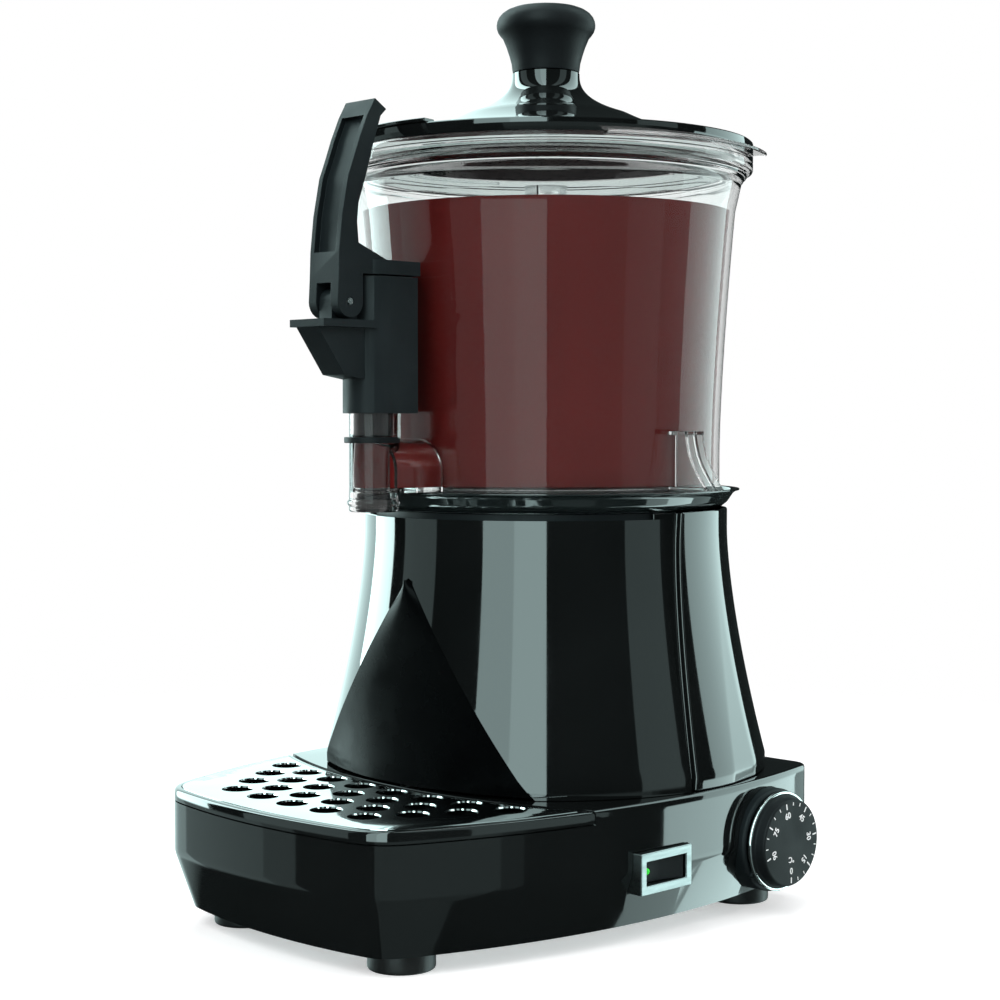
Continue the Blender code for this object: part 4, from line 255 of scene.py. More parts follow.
def chocolate_drink(name):
    """Thick drink behind the clear wall: an even red-brown with faint swirls."""
    made, tree, shader = new_material(name)
    swirl = noise(tree, 11.0, 5.0, 0.55, (1.0, 1.0, 0.45))
    surface(tree, shader, tint(tree, swirl, (0.088, 0.0080, 0.0072), (0.112, 0.0120, 0.0110)),
            spread(tree, noise(tree, 16.0), 0.55, 0.65))
    slot_default(shader, IOR=1.15)
    shader.inputs["Subsurface Weight"].default_value = 0.12
    shader.inputs["Subsurface Radius"].default_value = (0.004, 0.0015, 0.0010)
    return made


def lens(name, dark, light, strength):
    made, tree, shader = new_material(name)
    colour = tint(tree, noise(tree, 500.0), dark, light)
    tree.links.new(colour, shader.inputs["Base Color"])
    tree.links.new(colour, shader.inputs["Emission Color"])
    tree.links.new(spread(tree, noise(tree, 300.0), 0.15, 0.25), shader.inputs["Roughness"])
    slot_default(shader, Emission_Strength=strength)
    return made


GLOSS_BLACK = gloss_plastic("gloss_black_plastic", (0.0025, 0.0032, 0.0032), (0.0055, 0.0068, 0.0068))
TEAL_BLACK = gloss_plastic("teal_black_plastic", (0.006, 0.010, 0.010), (0.012, 0.017, 0.017))
PANEL_BLACK = matt_plastic("panel_black_plastic", (0.0008, 0.0011, 0.0012), (0.0016, 0.0021, 0.0023), 0.26,
                           700.0, 0.00003, 0.08, 1.12)
MATT_BLACK = matt_plastic("grained_black_plastic", (0.0055, 0.0085, 0.0095), (0.0105, 0.0150, 0.0165), 0.50,
                          ior=1.30)
KNOB_BLACK = matt_plastic("rubbery_black_plastic", (0.0045, 0.0060, 0.0068), (0.0085, 0.0108, 0.0118), 0.50,
                          1100.0, ior=1.28)
RUBBER = matt_plastic("black_rubber", (0.008, 0.009, 0.009), (0.017, 0.018, 0.018), 0.42, 420.0, 0.0002)
GREY_PLASTIC = matt_plastic("grey_plastic", (0.15, 0.16, 0.16), (0.21, 0.22, 0.22), 0.45)
WHITE_PLASTIC = matt_plastic("white_plastic", (0.62, 0.61, 0.57), (0.72, 0.71, 0.67), 0.5)
PRINT_WHITE = matt_plastic("printed_white", (0.72, 0.74, 0.74), (0.86, 0.88, 0.88), 0.5, 1500.0, 0.00002, 0.1)
POLISHED_STEEL = metal("polished_steel", (0.74, 0.76, 0.76), (0.84, 0.86, 0.86), 0.05, 0.11)
BRUSHED_STEEL = metal("brushed_steel", (0.52, 0.54, 0.54), (0.66, 0.68, 0.68), 0.22, 0.36, (1.0, 12.0, 12.0))
FRAME_STEEL = metal("frame_steel", (0.30, 0.33, 0.33), (0.42, 0.46, 0.46), 0.26, 0.36, (12.0, 1.0, 12.0))
BRONZE = metal("bronze", (0.50, 0.33, 0.13), (0.63, 0.44, 0.20), 0.28, 0.42)
CLEAR = clear_plastic("clear_polycarbonate", (0.93, 0.955, 0.95), (0.97, 0.985, 0.98))
SMOKED = clear_plastic("smoked_polycarbonate", (0.56, 0.62, 0.61), (0.64, 0.70, 0.69))
DRINK = chocolate_drink("hot_chocolate")
LAMP = lens("green_lamp_lens", (0.02, 0.36, 0.03), (0.05, 0.62, 0.06), 0.9)


def finish_piece(name, maker, body, material, angle=SHARP_ANGLE):
    """Turn a bmesh into a piece that rides on a body, in the frame's place."""
    bmesh.ops.recalc_face_normals(maker, faces=maker.faces)
    mesh = bpy.data.meshes.new(name)
    maker.to_mesh(mesh)
    maker.free()
    mesh.transform(Matrix.Translation(SHIFT))
    mesh.shade_smooth()
    mesh.set_sharp_from_angle(angle=math.radians(angle))
    mesh.materials.append(material)
    made = bpy.data.objects.new(name, mesh)
    bpy.context.collection.objects.link(made)
    if body:
        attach(made, body)
    return made


def soft_edges(piece, width, segments=3, angle=34.0):
    """Round a piece's hard edges, so that they catch the light."""
    change = piece.modifiers.new("soft_edges", "BEVEL")
    change.width = width
    change.segments = segments
    change.limit_method = "ANGLE"
    change.angle_limit = math.radians(angle)
    change.use_clamp_overlap = True
    change.harden_normals = True
    return piece


def eased(profile, radius, steps=4, closed=False):
    """Round the corners of a line of points, each by at most a radius."""
    count = len(profile)
    points = []
    for i, (a, b) in enumerate(profile):
        if not closed and i in (0, count - 1):
            points.append((a, b))
            continue
        here = Vector((a, b))
        before = Vector(profile[i - 1]) - here
        after = Vector(profile[(i + 1) % count]) - here
        reach = min(radius, before.length / 2, after.length / 2)
        start = here + before.normalized() * reach
        end = here + after.normalized() * reach
        for k in range(steps + 1):
            t = k / steps
            spot = start * (1 - t) ** 2 + here * (2 * t * (1 - t)) + end * t ** 2
            points.append((spot.x, spot.y))
    return points


def turn_rows(maker, profile, steps, centre, axis, closed):
    base = Vector(centre)

    def point(radius, height, angle):
        a = radius * math.cos(angle)
        b = radius * math.sin(angle)
        if axis == "x":
            return base + Vector((height, a, b))
        if axis == "y":
            return base + Vector((a, height, b))
        return base + Vector((a, b, height))

    rows = []
    for radius, height in profile:
        if radius <= 0:
            rows.append([maker.verts.new(point(0, height, 0))])
        else:
            rows.append([maker.verts.new(point(radius, height,
                                               2 * math.pi * i / steps)) for i in range(steps)])
    last = len(rows) if closed else len(rows) - 1
    for k in range(last):
        row = rows[k]
        after = rows[(k + 1) % len(rows)]
        for i in range(steps):
            j = (i + 1) % steps
            if len(row) == 1 and len(after) == 1:
                break
            if len(row) == 1:
                maker.faces.new((row[0], after[i], after[j]))
            elif len(after) == 1:
                maker.faces.new((row[i], row[j], after[0]))
            else:
                maker.faces.new((row[i], row[j], after[j], after[i]))


def turned(name, profile, body, material, steps=128, centre=(0.0, 0.0, 0.0), axis="z",
           angle=SHARP_ANGLE):
    """A turned piece; the profile is a closed loop of (radius, height) or starts and ends on the axis."""
    maker = bmesh.new()
    closed = profile[0][0] > 0
    turn_rows(maker, profile, steps, centre, axis, closed)
    return finish_piece(name, maker, body, material, angle)


def loft(name, rings, body, material, angle=SHARP_ANGLE):
    """A closed loft of equal outlines, each a list of (x, y, z)."""
    maker = bmesh.new()
    rows = [[maker.verts.new(point) for point in ring] for ring in rings]
    count = len(rows[0])
    for lower, upper in zip(rows, rows[1:]):
        for i in range(count):
            j = (i + 1) % count
            maker.faces.new((lower[i], lower[j], upper[j], upper[i]))
    maker.faces.new(rows[0])
    maker.faces.new(rows[-1])
    return finish_piece(name, maker, body, material, angle)


def flat_loft(name, rings, body=None, material=None, angle=SHARP_ANGLE):
    return loft(name, [[(x, y, z) for x, y in outline] for outline, z in rings], body,
                material or GLOSS_BLACK,
                angle)


def box_tool(x_range, y_range, z_range):
    corners = ((x_range[0], y_range[0]), (x_range[1], y_range[0]), (x_range[1], y_range[1]),
               (x_range[0], y_range[1]))
    return flat_loft("tool", ((corners, z_range[0]), (corners, z_range[1])))


def ring_profile(inner, outer, low, high):
    return ((inner, low), (outer, low), (outer, high), (inner, high))


def rod_tool(radius, low, high, material, steps, centre=(0.0, 0.0, 0.0), axis="z"):
    """A plain rod to cut with."""
    return turned("tool", ((0, low), (radius, low), (radius, high), (0, high)), None, material, steps,
                  centre, axis)


def side_loft(name, outline, ends, body, material):
    """An outline of (x, z) drawn out along Y."""
    return loft(name, [[(x, y, z) for x, z in outline] for y in ends], body, material)


def axes_matrix(x, y, z, place):
    """The matrix that gives an object its own three axes and its place."""
    return Matrix(((x.x, y.x, z.x, place.x), (x.y, y.y, z.y, place.y), (x.z, y.z, z.z, place.z),
                   (0, 0, 0, 1)))


def carve(piece, tools, operation="DIFFERENCE"):
    """Cut tools out of a piece, or join them to it, and keep the result."""
    for tool in tools:
        change = piece.modifiers.new("carve", "BOOLEAN")
        change.operation = operation
        change.solver = "EXACT"
        change.object = tool
    bpy.context.view_layer.update()
    made = bpy.data.meshes.new_from_object(piece.evaluated_get(bpy.context.evaluated_depsgraph_get()))
    piece.modifiers.clear()
    piece.data = made
    for tool in tools:
        bpy.data.objects.remove(tool)
    made.shade_smooth()
    made.set_sharp_from_angle(angle=math.radians(SHARP_ANGLE))
    return piece


def from_node(node, body, material, edge, segments):
    """The node's own shape with joined facets, soft edges and a finish."""
    maker = bmesh.new()
    maker.from_mesh(frame["nodes"][node].data)
    bmesh.ops.remove_doubles(maker, verts=maker.verts, dist=0.000002)
    bmesh.ops.dissolve_limit(maker, angle_limit=math.radians(1.0), verts=maker.verts, edges=maker.edges)
    mesh = bpy.data.meshes.new(node + "_look")
    maker.to_mesh(mesh)
    maker.free()
    mesh.shade_smooth()
    mesh.set_sharp_from_angle(angle=math.radians(SHARP_ANGLE))
    mesh.materials.clear()
    mesh.materials.append(material)
    made = bpy.data.objects.new(node + "_look", mesh)
    bpy.context.collection.objects.link(made)
    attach(made, body)
    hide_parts(node)
    soft_edges(made, edge, segments)


slots = {row["node"]: row["material_slot"] for row in frame["record"]["subparts"]}


# Outlines of the base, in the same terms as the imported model's but finer
def arc(centre, radius, start, end, steps):
    return [(centre[0] + radius * math.cos(start + (end - start) * i / steps),
             centre[1] + radius * math.sin(start + (end - start) * i / steps)) for i in range(steps + 1)]


def circles_meet(centre_a, radius_a, centre_b, radius_b, towards):
    a = Vector(centre_a)
    b = Vector(centre_b)
    apart = (b - a).length
    along = (radius_a ** 2 - radius_b ** 2 + apart ** 2) / (2 * apart)
    across = math.sqrt(radius_a ** 2 - along ** 2)
    unit = (b - a) / apart
    side = Vector((-unit.y, unit.x))
    found = [a + unit * along + side * across, a + unit * along - side * across]
    return max(found, key=lambda point: point.dot(Vector(towards)))


def direction(centre, point):
    return math.atan2(point[1] - centre[1], point[0] - centre[0])


SIDE_CENTRE = (BASE_HALF_WIDTH - BASE_SIDE_RADIUS, BASE_SIDE_MIDDLE)
FRONT_CENTRE = (0.0, BASE_FRONT_RADIUS - BASE_FRONT)
TRAY_ARC_CENTRE = (0.0, TRAY_BACK_RADIUS - TRAY_BACK)
LONG_ARC_STEPS = 24
CORNER_STEPS = 12


def mirrored(half):
    return half + [(-x, y) for x, y in reversed(half[1:-1])]


def front_half(inset):
    corner = max(BASE_FRONT_CORNER - inset, LEAST_CORNER)
    middle = circles_meet(SIDE_CENTRE, BASE_SIDE_RADIUS - inset - corner,
                          FRONT_CENTRE, BASE_FRONT_RADIUS - inset - corner, (1, -1))
    front_end = direction(FRONT_CENTRE, middle)
    side_start = direction(SIDE_CENTRE, middle)
    points = arc(FRONT_CENTRE, BASE_FRONT_RADIUS - inset, -math.pi / 2, front_end, LONG_ARC_STEPS)
    points += arc(middle, corner, front_end, side_start, CORNER_STEPS)[1:]
    return points, side_start


def back_half(inset, side_from):
    corner = max(BASE_BACK_CORNER - inset, LEAST_CORNER)
    back = BASE_BACK - inset
    middle_y = back - corner
    reach = BASE_SIDE_RADIUS - inset - corner
    rise = middle_y - SIDE_CENTRE[1]
    middle = (SIDE_CENTRE[0] + math.sqrt(reach ** 2 - rise ** 2), middle_y)
    side_end = direction(SIDE_CENTRE, middle)
    points = arc(SIDE_CENTRE, BASE_SIDE_RADIUS - inset, side_from, side_end, LONG_ARC_STEPS)
    points += arc(middle, corner, side_end, math.pi / 2, CORNER_STEPS)[1:]
    return points + [(0.0, back)]


def base_outline(inset):
    front, side_start = front_half(inset)
    return mirrored(front[:-1] + back_half(inset, side_start))


def tray_crossing(inset, offset):
    return circles_meet(SIDE_CENTRE, BASE_SIDE_RADIUS - inset, TRAY_ARC_CENTRE, TRAY_BACK_RADIUS - offset,
                        (1, 0))


def tray_arc(inset, offset):
    end = direction(TRAY_ARC_CENTRE, tray_crossing(inset, offset))
    return arc(TRAY_ARC_CENTRE, TRAY_BACK_RADIUS - offset, -math.pi / 2, end, LONG_ARC_STEPS)


def tray_outline(inset, offset):
    front, side_start = front_half(inset)
    side_end = direction(SIDE_CENTRE, tray_crossing(inset, offset))
    side = arc(SIDE_CENTRE, BASE_SIDE_RADIUS - inset, side_start, side_end, LONG_ARC_STEPS)
    return mirrored(front[:-1] + side[:-1] + list(reversed(tray_arc(inset, offset))))


def rear_outline(inset, offset):
    side = back_half(inset, direction(SIDE_CENTRE, tray_crossing(inset, offset)))
    return mirrored(tray_arc(inset, offset)[:-1] + side)


def build_base():
    edge = eased(((0.0, BASE_TOP - BASE_EDGE), (0.0, BASE_TOP), (BASE_EDGE, BASE_TOP)), BASE_EDGE, 7)[1:-1]
    rows = [(BASE_TAPER, BASE_BOTTOM), (BASE_TAPER * 0.06, BASE_CREASE - 0.0022), (0.0, BASE_CREASE),
            (0.0, BASE_CREASE + 0.0022), (0.0, BASE_TOP - BASE_EDGE)] + edge[1:]
    base = flat_loft("base_shell", [(base_outline(inset), z) for inset, z in rows], "base", GLOSS_BLACK)
    back = 0.0007
    floor = TRAY_FLOOR - GAP
    ceiling = floor - BASE_WALL
    below = BASE_BOTTOM - 0.004
    above = 0.08
    low = flat_loft("tool", ((base_outline(BASE_TAPER + BASE_WALL), below),
                             (base_outline(BASE_WALL), ceiling)))
    rear = flat_loft("tool", ((rear_outline(BASE_WALL, back + BASE_WALL), ceiling - BASE_WALL),
                              (rear_outline(BASE_WALL + 0.002, back + BASE_WALL), BASE_TOP - BASE_WALL)))
    pocket = flat_loft("tool", ((tray_outline(BASE_WALL, back), floor),
                                (tray_outline(BASE_WALL, back), above)))
    rim = TRAY_TOP - TRAY_BAND - GAP
    step = flat_loft("tool", ((tray_outline(-0.004, back), rim), (tray_outline(-0.004, back), above)))
    bezel = rod_tool(0.0258, 0.098, 0.130, GLOSS_BLACK, 64, THERMOSTAT, "x")
    switch = box_tool((0.0966, 0.1226), (-0.0581, -0.0220), (0.0262, 0.0463))
    gland = rod_tool(0.0068, 0.077, 0.097, GLOSS_BLACK, 32, (-0.060, 0, 0.030), "y")
    deck = rod_tool(0.080, 0.062, 0.072, GLOSS_BLACK, 96)
    carve(base, [low, rear, pocket, step, bezel, switch, gland, deck])
    soft_edges(base, 0.0004, 2, 40.0)
    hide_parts("base_housing")


def build_tray():
    basin = 0.0032
    inside = basin + 0.002
    ledge = GRILLE_INSET - GAP
    ledge_z = BASE_TOP - GRILLE_THICKNESS - GAP
    band = TRAY_TOP - TRAY_BAND
    rings = [(basin, 0, TRAY_FLOOR), (basin, 0, band), (0.0004, 0, band), (0, 0, band + 0.0004),
             (0, 0, TRAY_TOP - 0.0016), (0.0003, -0.0003, TRAY_TOP - 0.0007),
             (0.0009, -0.0009, TRAY_TOP - 0.0002),
             (0.0016, -0.0016, TRAY_TOP), (ledge, -ledge, TRAY_TOP), (ledge, -ledge, ledge_z),
             (inside, -inside, ledge_z), (inside, -inside, TRAY_FLOOR + 0.002)]
    tray = flat_loft("tray_shell", [(tray_outline(inset, offset), z) for inset, offset, z in rings],
                     "tray", GLOSS_BLACK)
    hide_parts("drip_tray")


def build_grille():
    low = BASE_TOP - GRILLE_THICKNESS
    edge = 0.0007
    rows = ((GRILLE_INSET, low), (GRILLE_INSET, BASE_TOP - edge),
            (GRILLE_INSET + edge * 0.3, BASE_TOP - edge * 0.3),
            (GRILLE_INSET + edge, BASE_TOP))
    grille = flat_loft("grille_plate", [(tray_outline(inset, -inset), z) for inset, z in rows],
                       "grille", POLISHED_STEEL)
    tools = []
    for row, count in enumerate(HOLE_COUNTS_BY_ROW):
        for i in range(count):
            x = HOLE_PITCH * (i - (count - 1) / 2)
            y = row * HOLE_ROW_PITCH - HOLE_ROW_FRONT + x * x / (2 * HOLE_ROW_BOW_RADIUS)
            lip = HOLE_RADIUS + 0.0006
            tools.append(turned("tool", ((0, low - 0.003), (HOLE_RADIUS, low - 0.003),
                                         (HOLE_RADIUS, BASE_TOP - 0.0006),
                                         (lip, BASE_TOP), (lip, BASE_TOP + 0.003), (0, BASE_TOP + 0.003)),
                                None, POLISHED_STEEL, 40, (x, y, 0)))
    carve(grille, tools)
    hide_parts("drip_grille")


def column_radius(z):
    if z >= COLUMN_FLARE_START:
        return COLUMN_TOP_RADIUS
    share = (COLUMN_FLARE_START - z) / COLUMN_FLARE_HEIGHT
    return min(COLUMN_TOP_RADIUS + COLUMN_FLARE * share ** COLUMN_FLARE_POWER, COLUMN_FOOT_RADIUS)


def polar(radius, degrees):
    turn = math.radians(degrees)
    return (radius * math.sin(turn), -radius * math.cos(turn))


def column_rows(top, count=30):
    return [COLUMN_FOOT + (top - COLUMN_FOOT) * i / count for i in range(count + 1)]


def build_front_shell():
    rings = []
    steps = 110
    for z in column_rows(FRONT_SHELL_TOP):
        radius = column_radius(z)
        angles = [FRONT_SHELL_EDGE * (2 * i / steps - 1) for i in range(steps + 1)]
        rings.append(([polar(radius, angle) for angle in angles]
                      + [polar(radius - SHELL_WALL, angle) for angle in reversed(angles)], z))
    shell = flat_loft("front_shell", rings, "base", GLOSS_BLACK)
    clear = 0.0003 / math.cos(math.atan(PANEL_SLOPE))
    window = [(0.0, PANEL_TOP + 0.0009)]
    for z in (PANEL_TOP, COLUMN_FOOT - 0.004):
        window.append((PANEL_SLOPE * (PANEL_PEAK - z) + clear, z))
    outline = window + [(-x, z) for x, z in reversed(window[1:])]
    tool = side_loft("tool", outline, (-BASE_FRONT, -0.050), None, GLOSS_BLACK)
    carve(shell, [tool])
    soft_edges(shell, 0.0007, 3, 50.0)
    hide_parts("column_front_shell")


def back_radius(z, degrees, inset):
    """Radius of the back shell with its flat facet, which widens downwards from a point."""
    radius = column_radius(z) - inset
    if z < FACET_TOP:
        share = (FACET_TOP - z) / (FACET_TOP - COLUMN_FOOT)
        low = FACET_MIDDLE - FACET_LEFT * share
        high = FACET_MIDDLE + FACET_RIGHT * share
        if low < degrees < high:
            half = math.radians((high - low) / 2)
            return radius * math.cos(half) / math.cos(math.radians(degrees - (low + high) / 2))
    return radius


def build_back_shell():
    rings = []
    steps = 90
    for z in column_rows(BACK_SHELL_TOP, 40):
        share = (z - COLUMN_FOOT) / (BACK_SHELL_TOP - COLUMN_FOOT)
        edge = RECESS_EDGE_FOOT + (RECESS_EDGE_TOP - RECESS_EDGE_FOOT) * share
        outline = []
        for inset in (0.0, SHELL_WALL):
            radius = column_radius(z)
            flat = BASE_BACK - inset
            bend = 180 - math.degrees(math.acos(min(flat / (radius - inset), 1)))
            start = edge + 0.6
            half = [polar(radius - RECESS_DEPTH - inset, RECESS_LAP),
                    polar(radius - RECESS_DEPTH - inset, edge)]
            for i in range(steps + 1):
                degrees = start + (bend - start) * i / steps
                half.append(polar(back_radius(z, degrees, inset), degrees))
            ring = half + [(-x, y) for x, y in reversed(half)]
            outline += ring if inset == 0 else list(reversed(ring))
        rings.append((outline, z))
    shell = flat_loft("back_shell", rings, "base", GLOSS_BLACK, 24.0)
    soft_edges(shell, 0.0008, 3, 40.0)
    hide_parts("column_back_shell")


def build_front_panel():
    rings = []
    steps = 40
    rows = 44
    for k in range(rows + 1):
        z = PANEL_FOOT + (PANEL_TOP - PANEL_FOOT) * k / rows
        half = PANEL_SLOPE * (PANEL_PEAK - z)
        edge = math.sqrt(column_radius(z) ** 2 - half ** 2)
        if z > PANEL_MIDDLE_Z:
            share = (z - PANEL_MIDDLE_Z) / (PANEL_TOP - PANEL_MIDDLE_Z)
            middle = PANEL_MIDDLE_Y + (PANEL_TOP_Y - PANEL_MIDDLE_Y) * share
        else:
            share = (PANEL_MIDDLE_Z - z) / (PANEL_MIDDLE_Z - PANEL_FOOT)
            middle = PANEL_MIDDLE_Y + (PANEL_FOOT_Y - PANEL_MIDDLE_Y) * share ** 2
        front = []
        for i in range(steps + 1):
            across = 2 * i / steps - 1
            front.append((half * across, -(edge + (middle - edge) * (1 - across ** 2))))
        rings.append((front + [(x, y + PANEL_THICKNESS) for x, y in reversed(front)], z))
    panel = flat_loft("triangle_panel", rings, "base", PANEL_BLACK, 40.0)
    soft_edges(panel, 0.0004, 2, 50.0)
    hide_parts("front_panel")


def build_gutter():
    profile = ((0.0846, 0.2013), (0.0900, 0.2013), (0.0938, 0.2042), (0.0968, 0.2088), (0.0985, 0.2099),
               (0.1000, 0.2101), (0.1000, 0.2110), (0.0964, 0.2110), (0.0946, 0.2092), (0.0928, 0.2056),
               (0.0900, 0.2033), (0.0846, 0.2033))
    gutter = turned("gutter_bowl_rest", eased(profile, 0.0012, 4, True), "base", TEAL_BLACK,
                    160,
                    angle=60.0)
    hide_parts("gutter_ring")
    band = eased(ring_profile(0.0846, 0.0877, 0.189, 0.201), 0.0006, 3, True)
    collar = turned("collar_band", band, "base", MATT_BLACK, 128)
    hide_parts("top_collar")


def bowl_radius(z):
    if z <= BOWL_FLARE_START:
        return BOWL_WAIST_RADIUS
    share = (z - BOWL_FLARE_START) / BOWL_FLARE_HEIGHT
    return BOWL_WAIST_RADIUS + BOWL_FLARE * share ** BOWL_FLARE_POWER


def bowl_line(inset, low, high, count):
    """Points up the bowl's wall, moved in by an inset."""
    top = BOWL_FLARE_START + BOWL_FLARE_HEIGHT
    points = []
    for i in range(count + 1):
        z = low + (high - low) * i / count
        if z <= top:
            points.append((bowl_radius(z) - inset, z))
        else:
            share = (z - top) / (BOWL_SHOULDER_Z - top)
            points.append((bowl_radius(top) + (BOWL_SHOULDER_RADIUS - bowl_radius(top)) * share - inset, z))
    return points


def sector(inner, outer, low, high, middle, half, steps, name, body, material):
    start = math.radians(middle - half)
    end = math.radians(middle + half)
    outline = arc((0, 0), outer, start, end, steps) + arc((0, 0), inner, end, start, steps)
    return flat_loft(name, ((outline, low), (outline, high)), body, material)


def arch(half, foot, top, steps=20):
    spring = top - half * math.sin(math.pi / 3)
    crown = [(half * math.cos(math.pi * i / steps), spring + (top - spring) * math.sin(math.pi * i / steps))
             for i in range(steps + 1)]
    return [(half, foot)] + crown + [(-half, foot)]


def build_bowl():
    outer = bowl_line(0, BOWL_FOOT + 0.0006, BOWL_SHOULDER_Z, 44)
    rim = [(0.1012, 0.3672), (0.1018, 0.3688), (0.1026, 0.3690), (0.1030, 0.3704), (0.1040, 0.3706),
           (0.1046, 0.3716), (0.1057, 0.3719), (BOWL_RIM_RADIUS, 0.3728), (BOWL_RIM_RADIUS, 0.3756),
           (0.1056, 0.3760), (0.1056, 0.3766), (BOWL_RIM_RADIUS, 0.3770), (BOWL_RIM_RADIUS, 0.3792),
           (0.1056, BOWL_RIM_TOP)]
    inner_rim = [(0.1038, BOWL_RIM_TOP), (0.1033, 0.3792), (0.1033, 0.3726), (0.1022, 0.3712),
                 (0.0996, 0.3692),
                 (0.0980, 0.3676)]
    inner = list(reversed(bowl_line(BOWL_WALL, BOWL_FOOT + 0.0004, BOWL_SHOULDER_Z, 44)))
    wall = turned("bowl_wall", outer + rim + inner_rim + inner, "bowl", CLEAR, 192,
                  angle=50.0)
    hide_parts("bowl")
    for side, label in ((1, "right"), (-1, "left")):
        lip = sector(BOWL_RIM_RADIUS + 0.0001, LIP_RADIUS, 0.3781, BOWL_RIM_TOP, 90 - side * 90, 31.0, 40,
                     "bowl_lip_" + label, "bowl", CLEAR)
        soft_edges(lip, 0.0006, 3)
        build_lug(side, label)
    duct_out = arch(0.0172, 0.2113, 0.237)
    duct_in = arch(0.0150, 0.2135, 0.2348)
    duct = side_loft("outlet_duct", duct_out, (-0.1275, -0.0884), "bowl", CLEAR)
    channel = side_loft("tool", duct_in, DUCT_CHANNEL_ENDS, None, CLEAR)
    bore = rod_tool(0.0099, 0.195, 0.245, CLEAR, 64, TAP_PLACE)
    body = rod_tool(0.0884, 0.2040, 0.245, CLEAR, 128)
    front = turned("tool", ring_profile(0.0116, 0.030, 0.202, 0.245), None, CLEAR, 64, TAP_PLACE)
    front_half_tool = box_tool((-0.03, 0.03), (-0.16, TAP_Y), (0.200, 0.250))
    carve(front, [front_half_tool], "INTERSECT")
    carve(duct, [channel, body, front, bore])
    soft_edges(duct, 0.0008, 3)
    turned("tap_tube", eased(((0.0099, 0.2132), (0.00905, 0.2120), (0.00905, 0.2022), (0.0114, 0.2020),
                              (0.0118, 0.2030), (0.0118, 0.2050), (0.0126, 0.2056), (0.0126, 0.2072),
                              (0.0118, 0.2078), (0.0116, 0.2132), (0.0116, 0.2660), (0.0099, 0.2660)),
                             0.0005, 3, True), "bowl", CLEAR, 96, TAP_PLACE, angle=50.0)


def build_lug(side, label):
    """A ribbed clear foot: a cap, a curved flange and a web between them and the wall."""
    reach = ((0.1010, 0.2405), (0.1020, 0.2350), (0.1035, 0.2290), (0.1058, 0.2240), (0.1090, 0.2190),
             (0.1120, 0.2150), (0.1145, 0.2120))
    wall = 0.0885
    wide = 0.006
    thick = 0.002
    web = [(side * x, z) for x, z in reach] + [(side * wall, 0.2120), (side * wall, 0.2405)]
    band = [(side * x, z) for x, z in reach] + [(side * (x - thick), z) for x, z in reversed(reach)]
    cap = [(side * wall, 0.2385), (side * 0.1016, 0.2385), (side * 0.1016, 0.2405), (side * wall, 0.2405)]
    foot = [(side * wall, 0.2120), (side * 0.1140, 0.2120), (side * 0.1128, 0.2136), (side * wall, 0.2136)]
    for part, outline, half in (("web", web, thick / 2), ("flange", band, wide), ("cap", cap, wide),
                                ("foot", foot, wide)):
        piece = side_loft("bowl_lug_" + label + "_" + part, outline, (-half, half), "bowl", CLEAR)
        soft_edges(piece, 0.0004, 2)


def build_drink():
    """The drink in the bowl, in the outlet duct and in the tap's tube."""
    gap = 0.0002
    top = 0.3514
    outer = bowl_line(BOWL_WALL + gap, 0.2140, top, 40)
    profile = [(0.0, 0.2130), (outer[0][0] - 0.0012, 0.2130)] + outer
    last = outer[-1][0]
    profile += [(last - 0.0006, top + 0.0003), (last - 0.0030, top - 0.0002), (0.0, top - 0.0004)]
    turned("drink_in_bowl", profile, "bowl", DRINK, 160, angle=45.0)
    channel = arch(0.0148, 0.2137, 0.2346)
    duct = side_loft("drink_in_duct", channel, DUCT_CHANNEL_ENDS, "bowl", DRINK)
    keep_out = rod_tool(0.0120, 0.200, 0.250, DRINK, 64, TAP_PLACE)
    keep_in = rod_tool(0.0865, 0.200, 0.250, DRINK, 128)
    carve(duct, [keep_out, keep_in])
    column = ring_profile(0.0037, 0.0097, 0.2136, 0.2374)
    turned("drink_in_tap", eased(column, 0.0006, 3, True), "bowl", DRINK, 64, TAP_PLACE)


def lid_slope(share):
    """Radius and height of the cover, from the crown's foot out to the brim."""
    return (LID_SLOPE_RADIUS + (LID_BRIM_RADIUS - LID_SLOPE_RADIUS) * share,
            LID_SLOPE_FOOT + LID_SLOPE_RISE * (1 - share) ** 2)


def lid_crown(share):
    """Radius and height of the crown, from its top down to the cover."""
    return (LID_NECK_RADIUS + LID_NECK_FLARE * share ** LID_NECK_POWER, LID_TOP - LID_CROWN_HEIGHT * share)


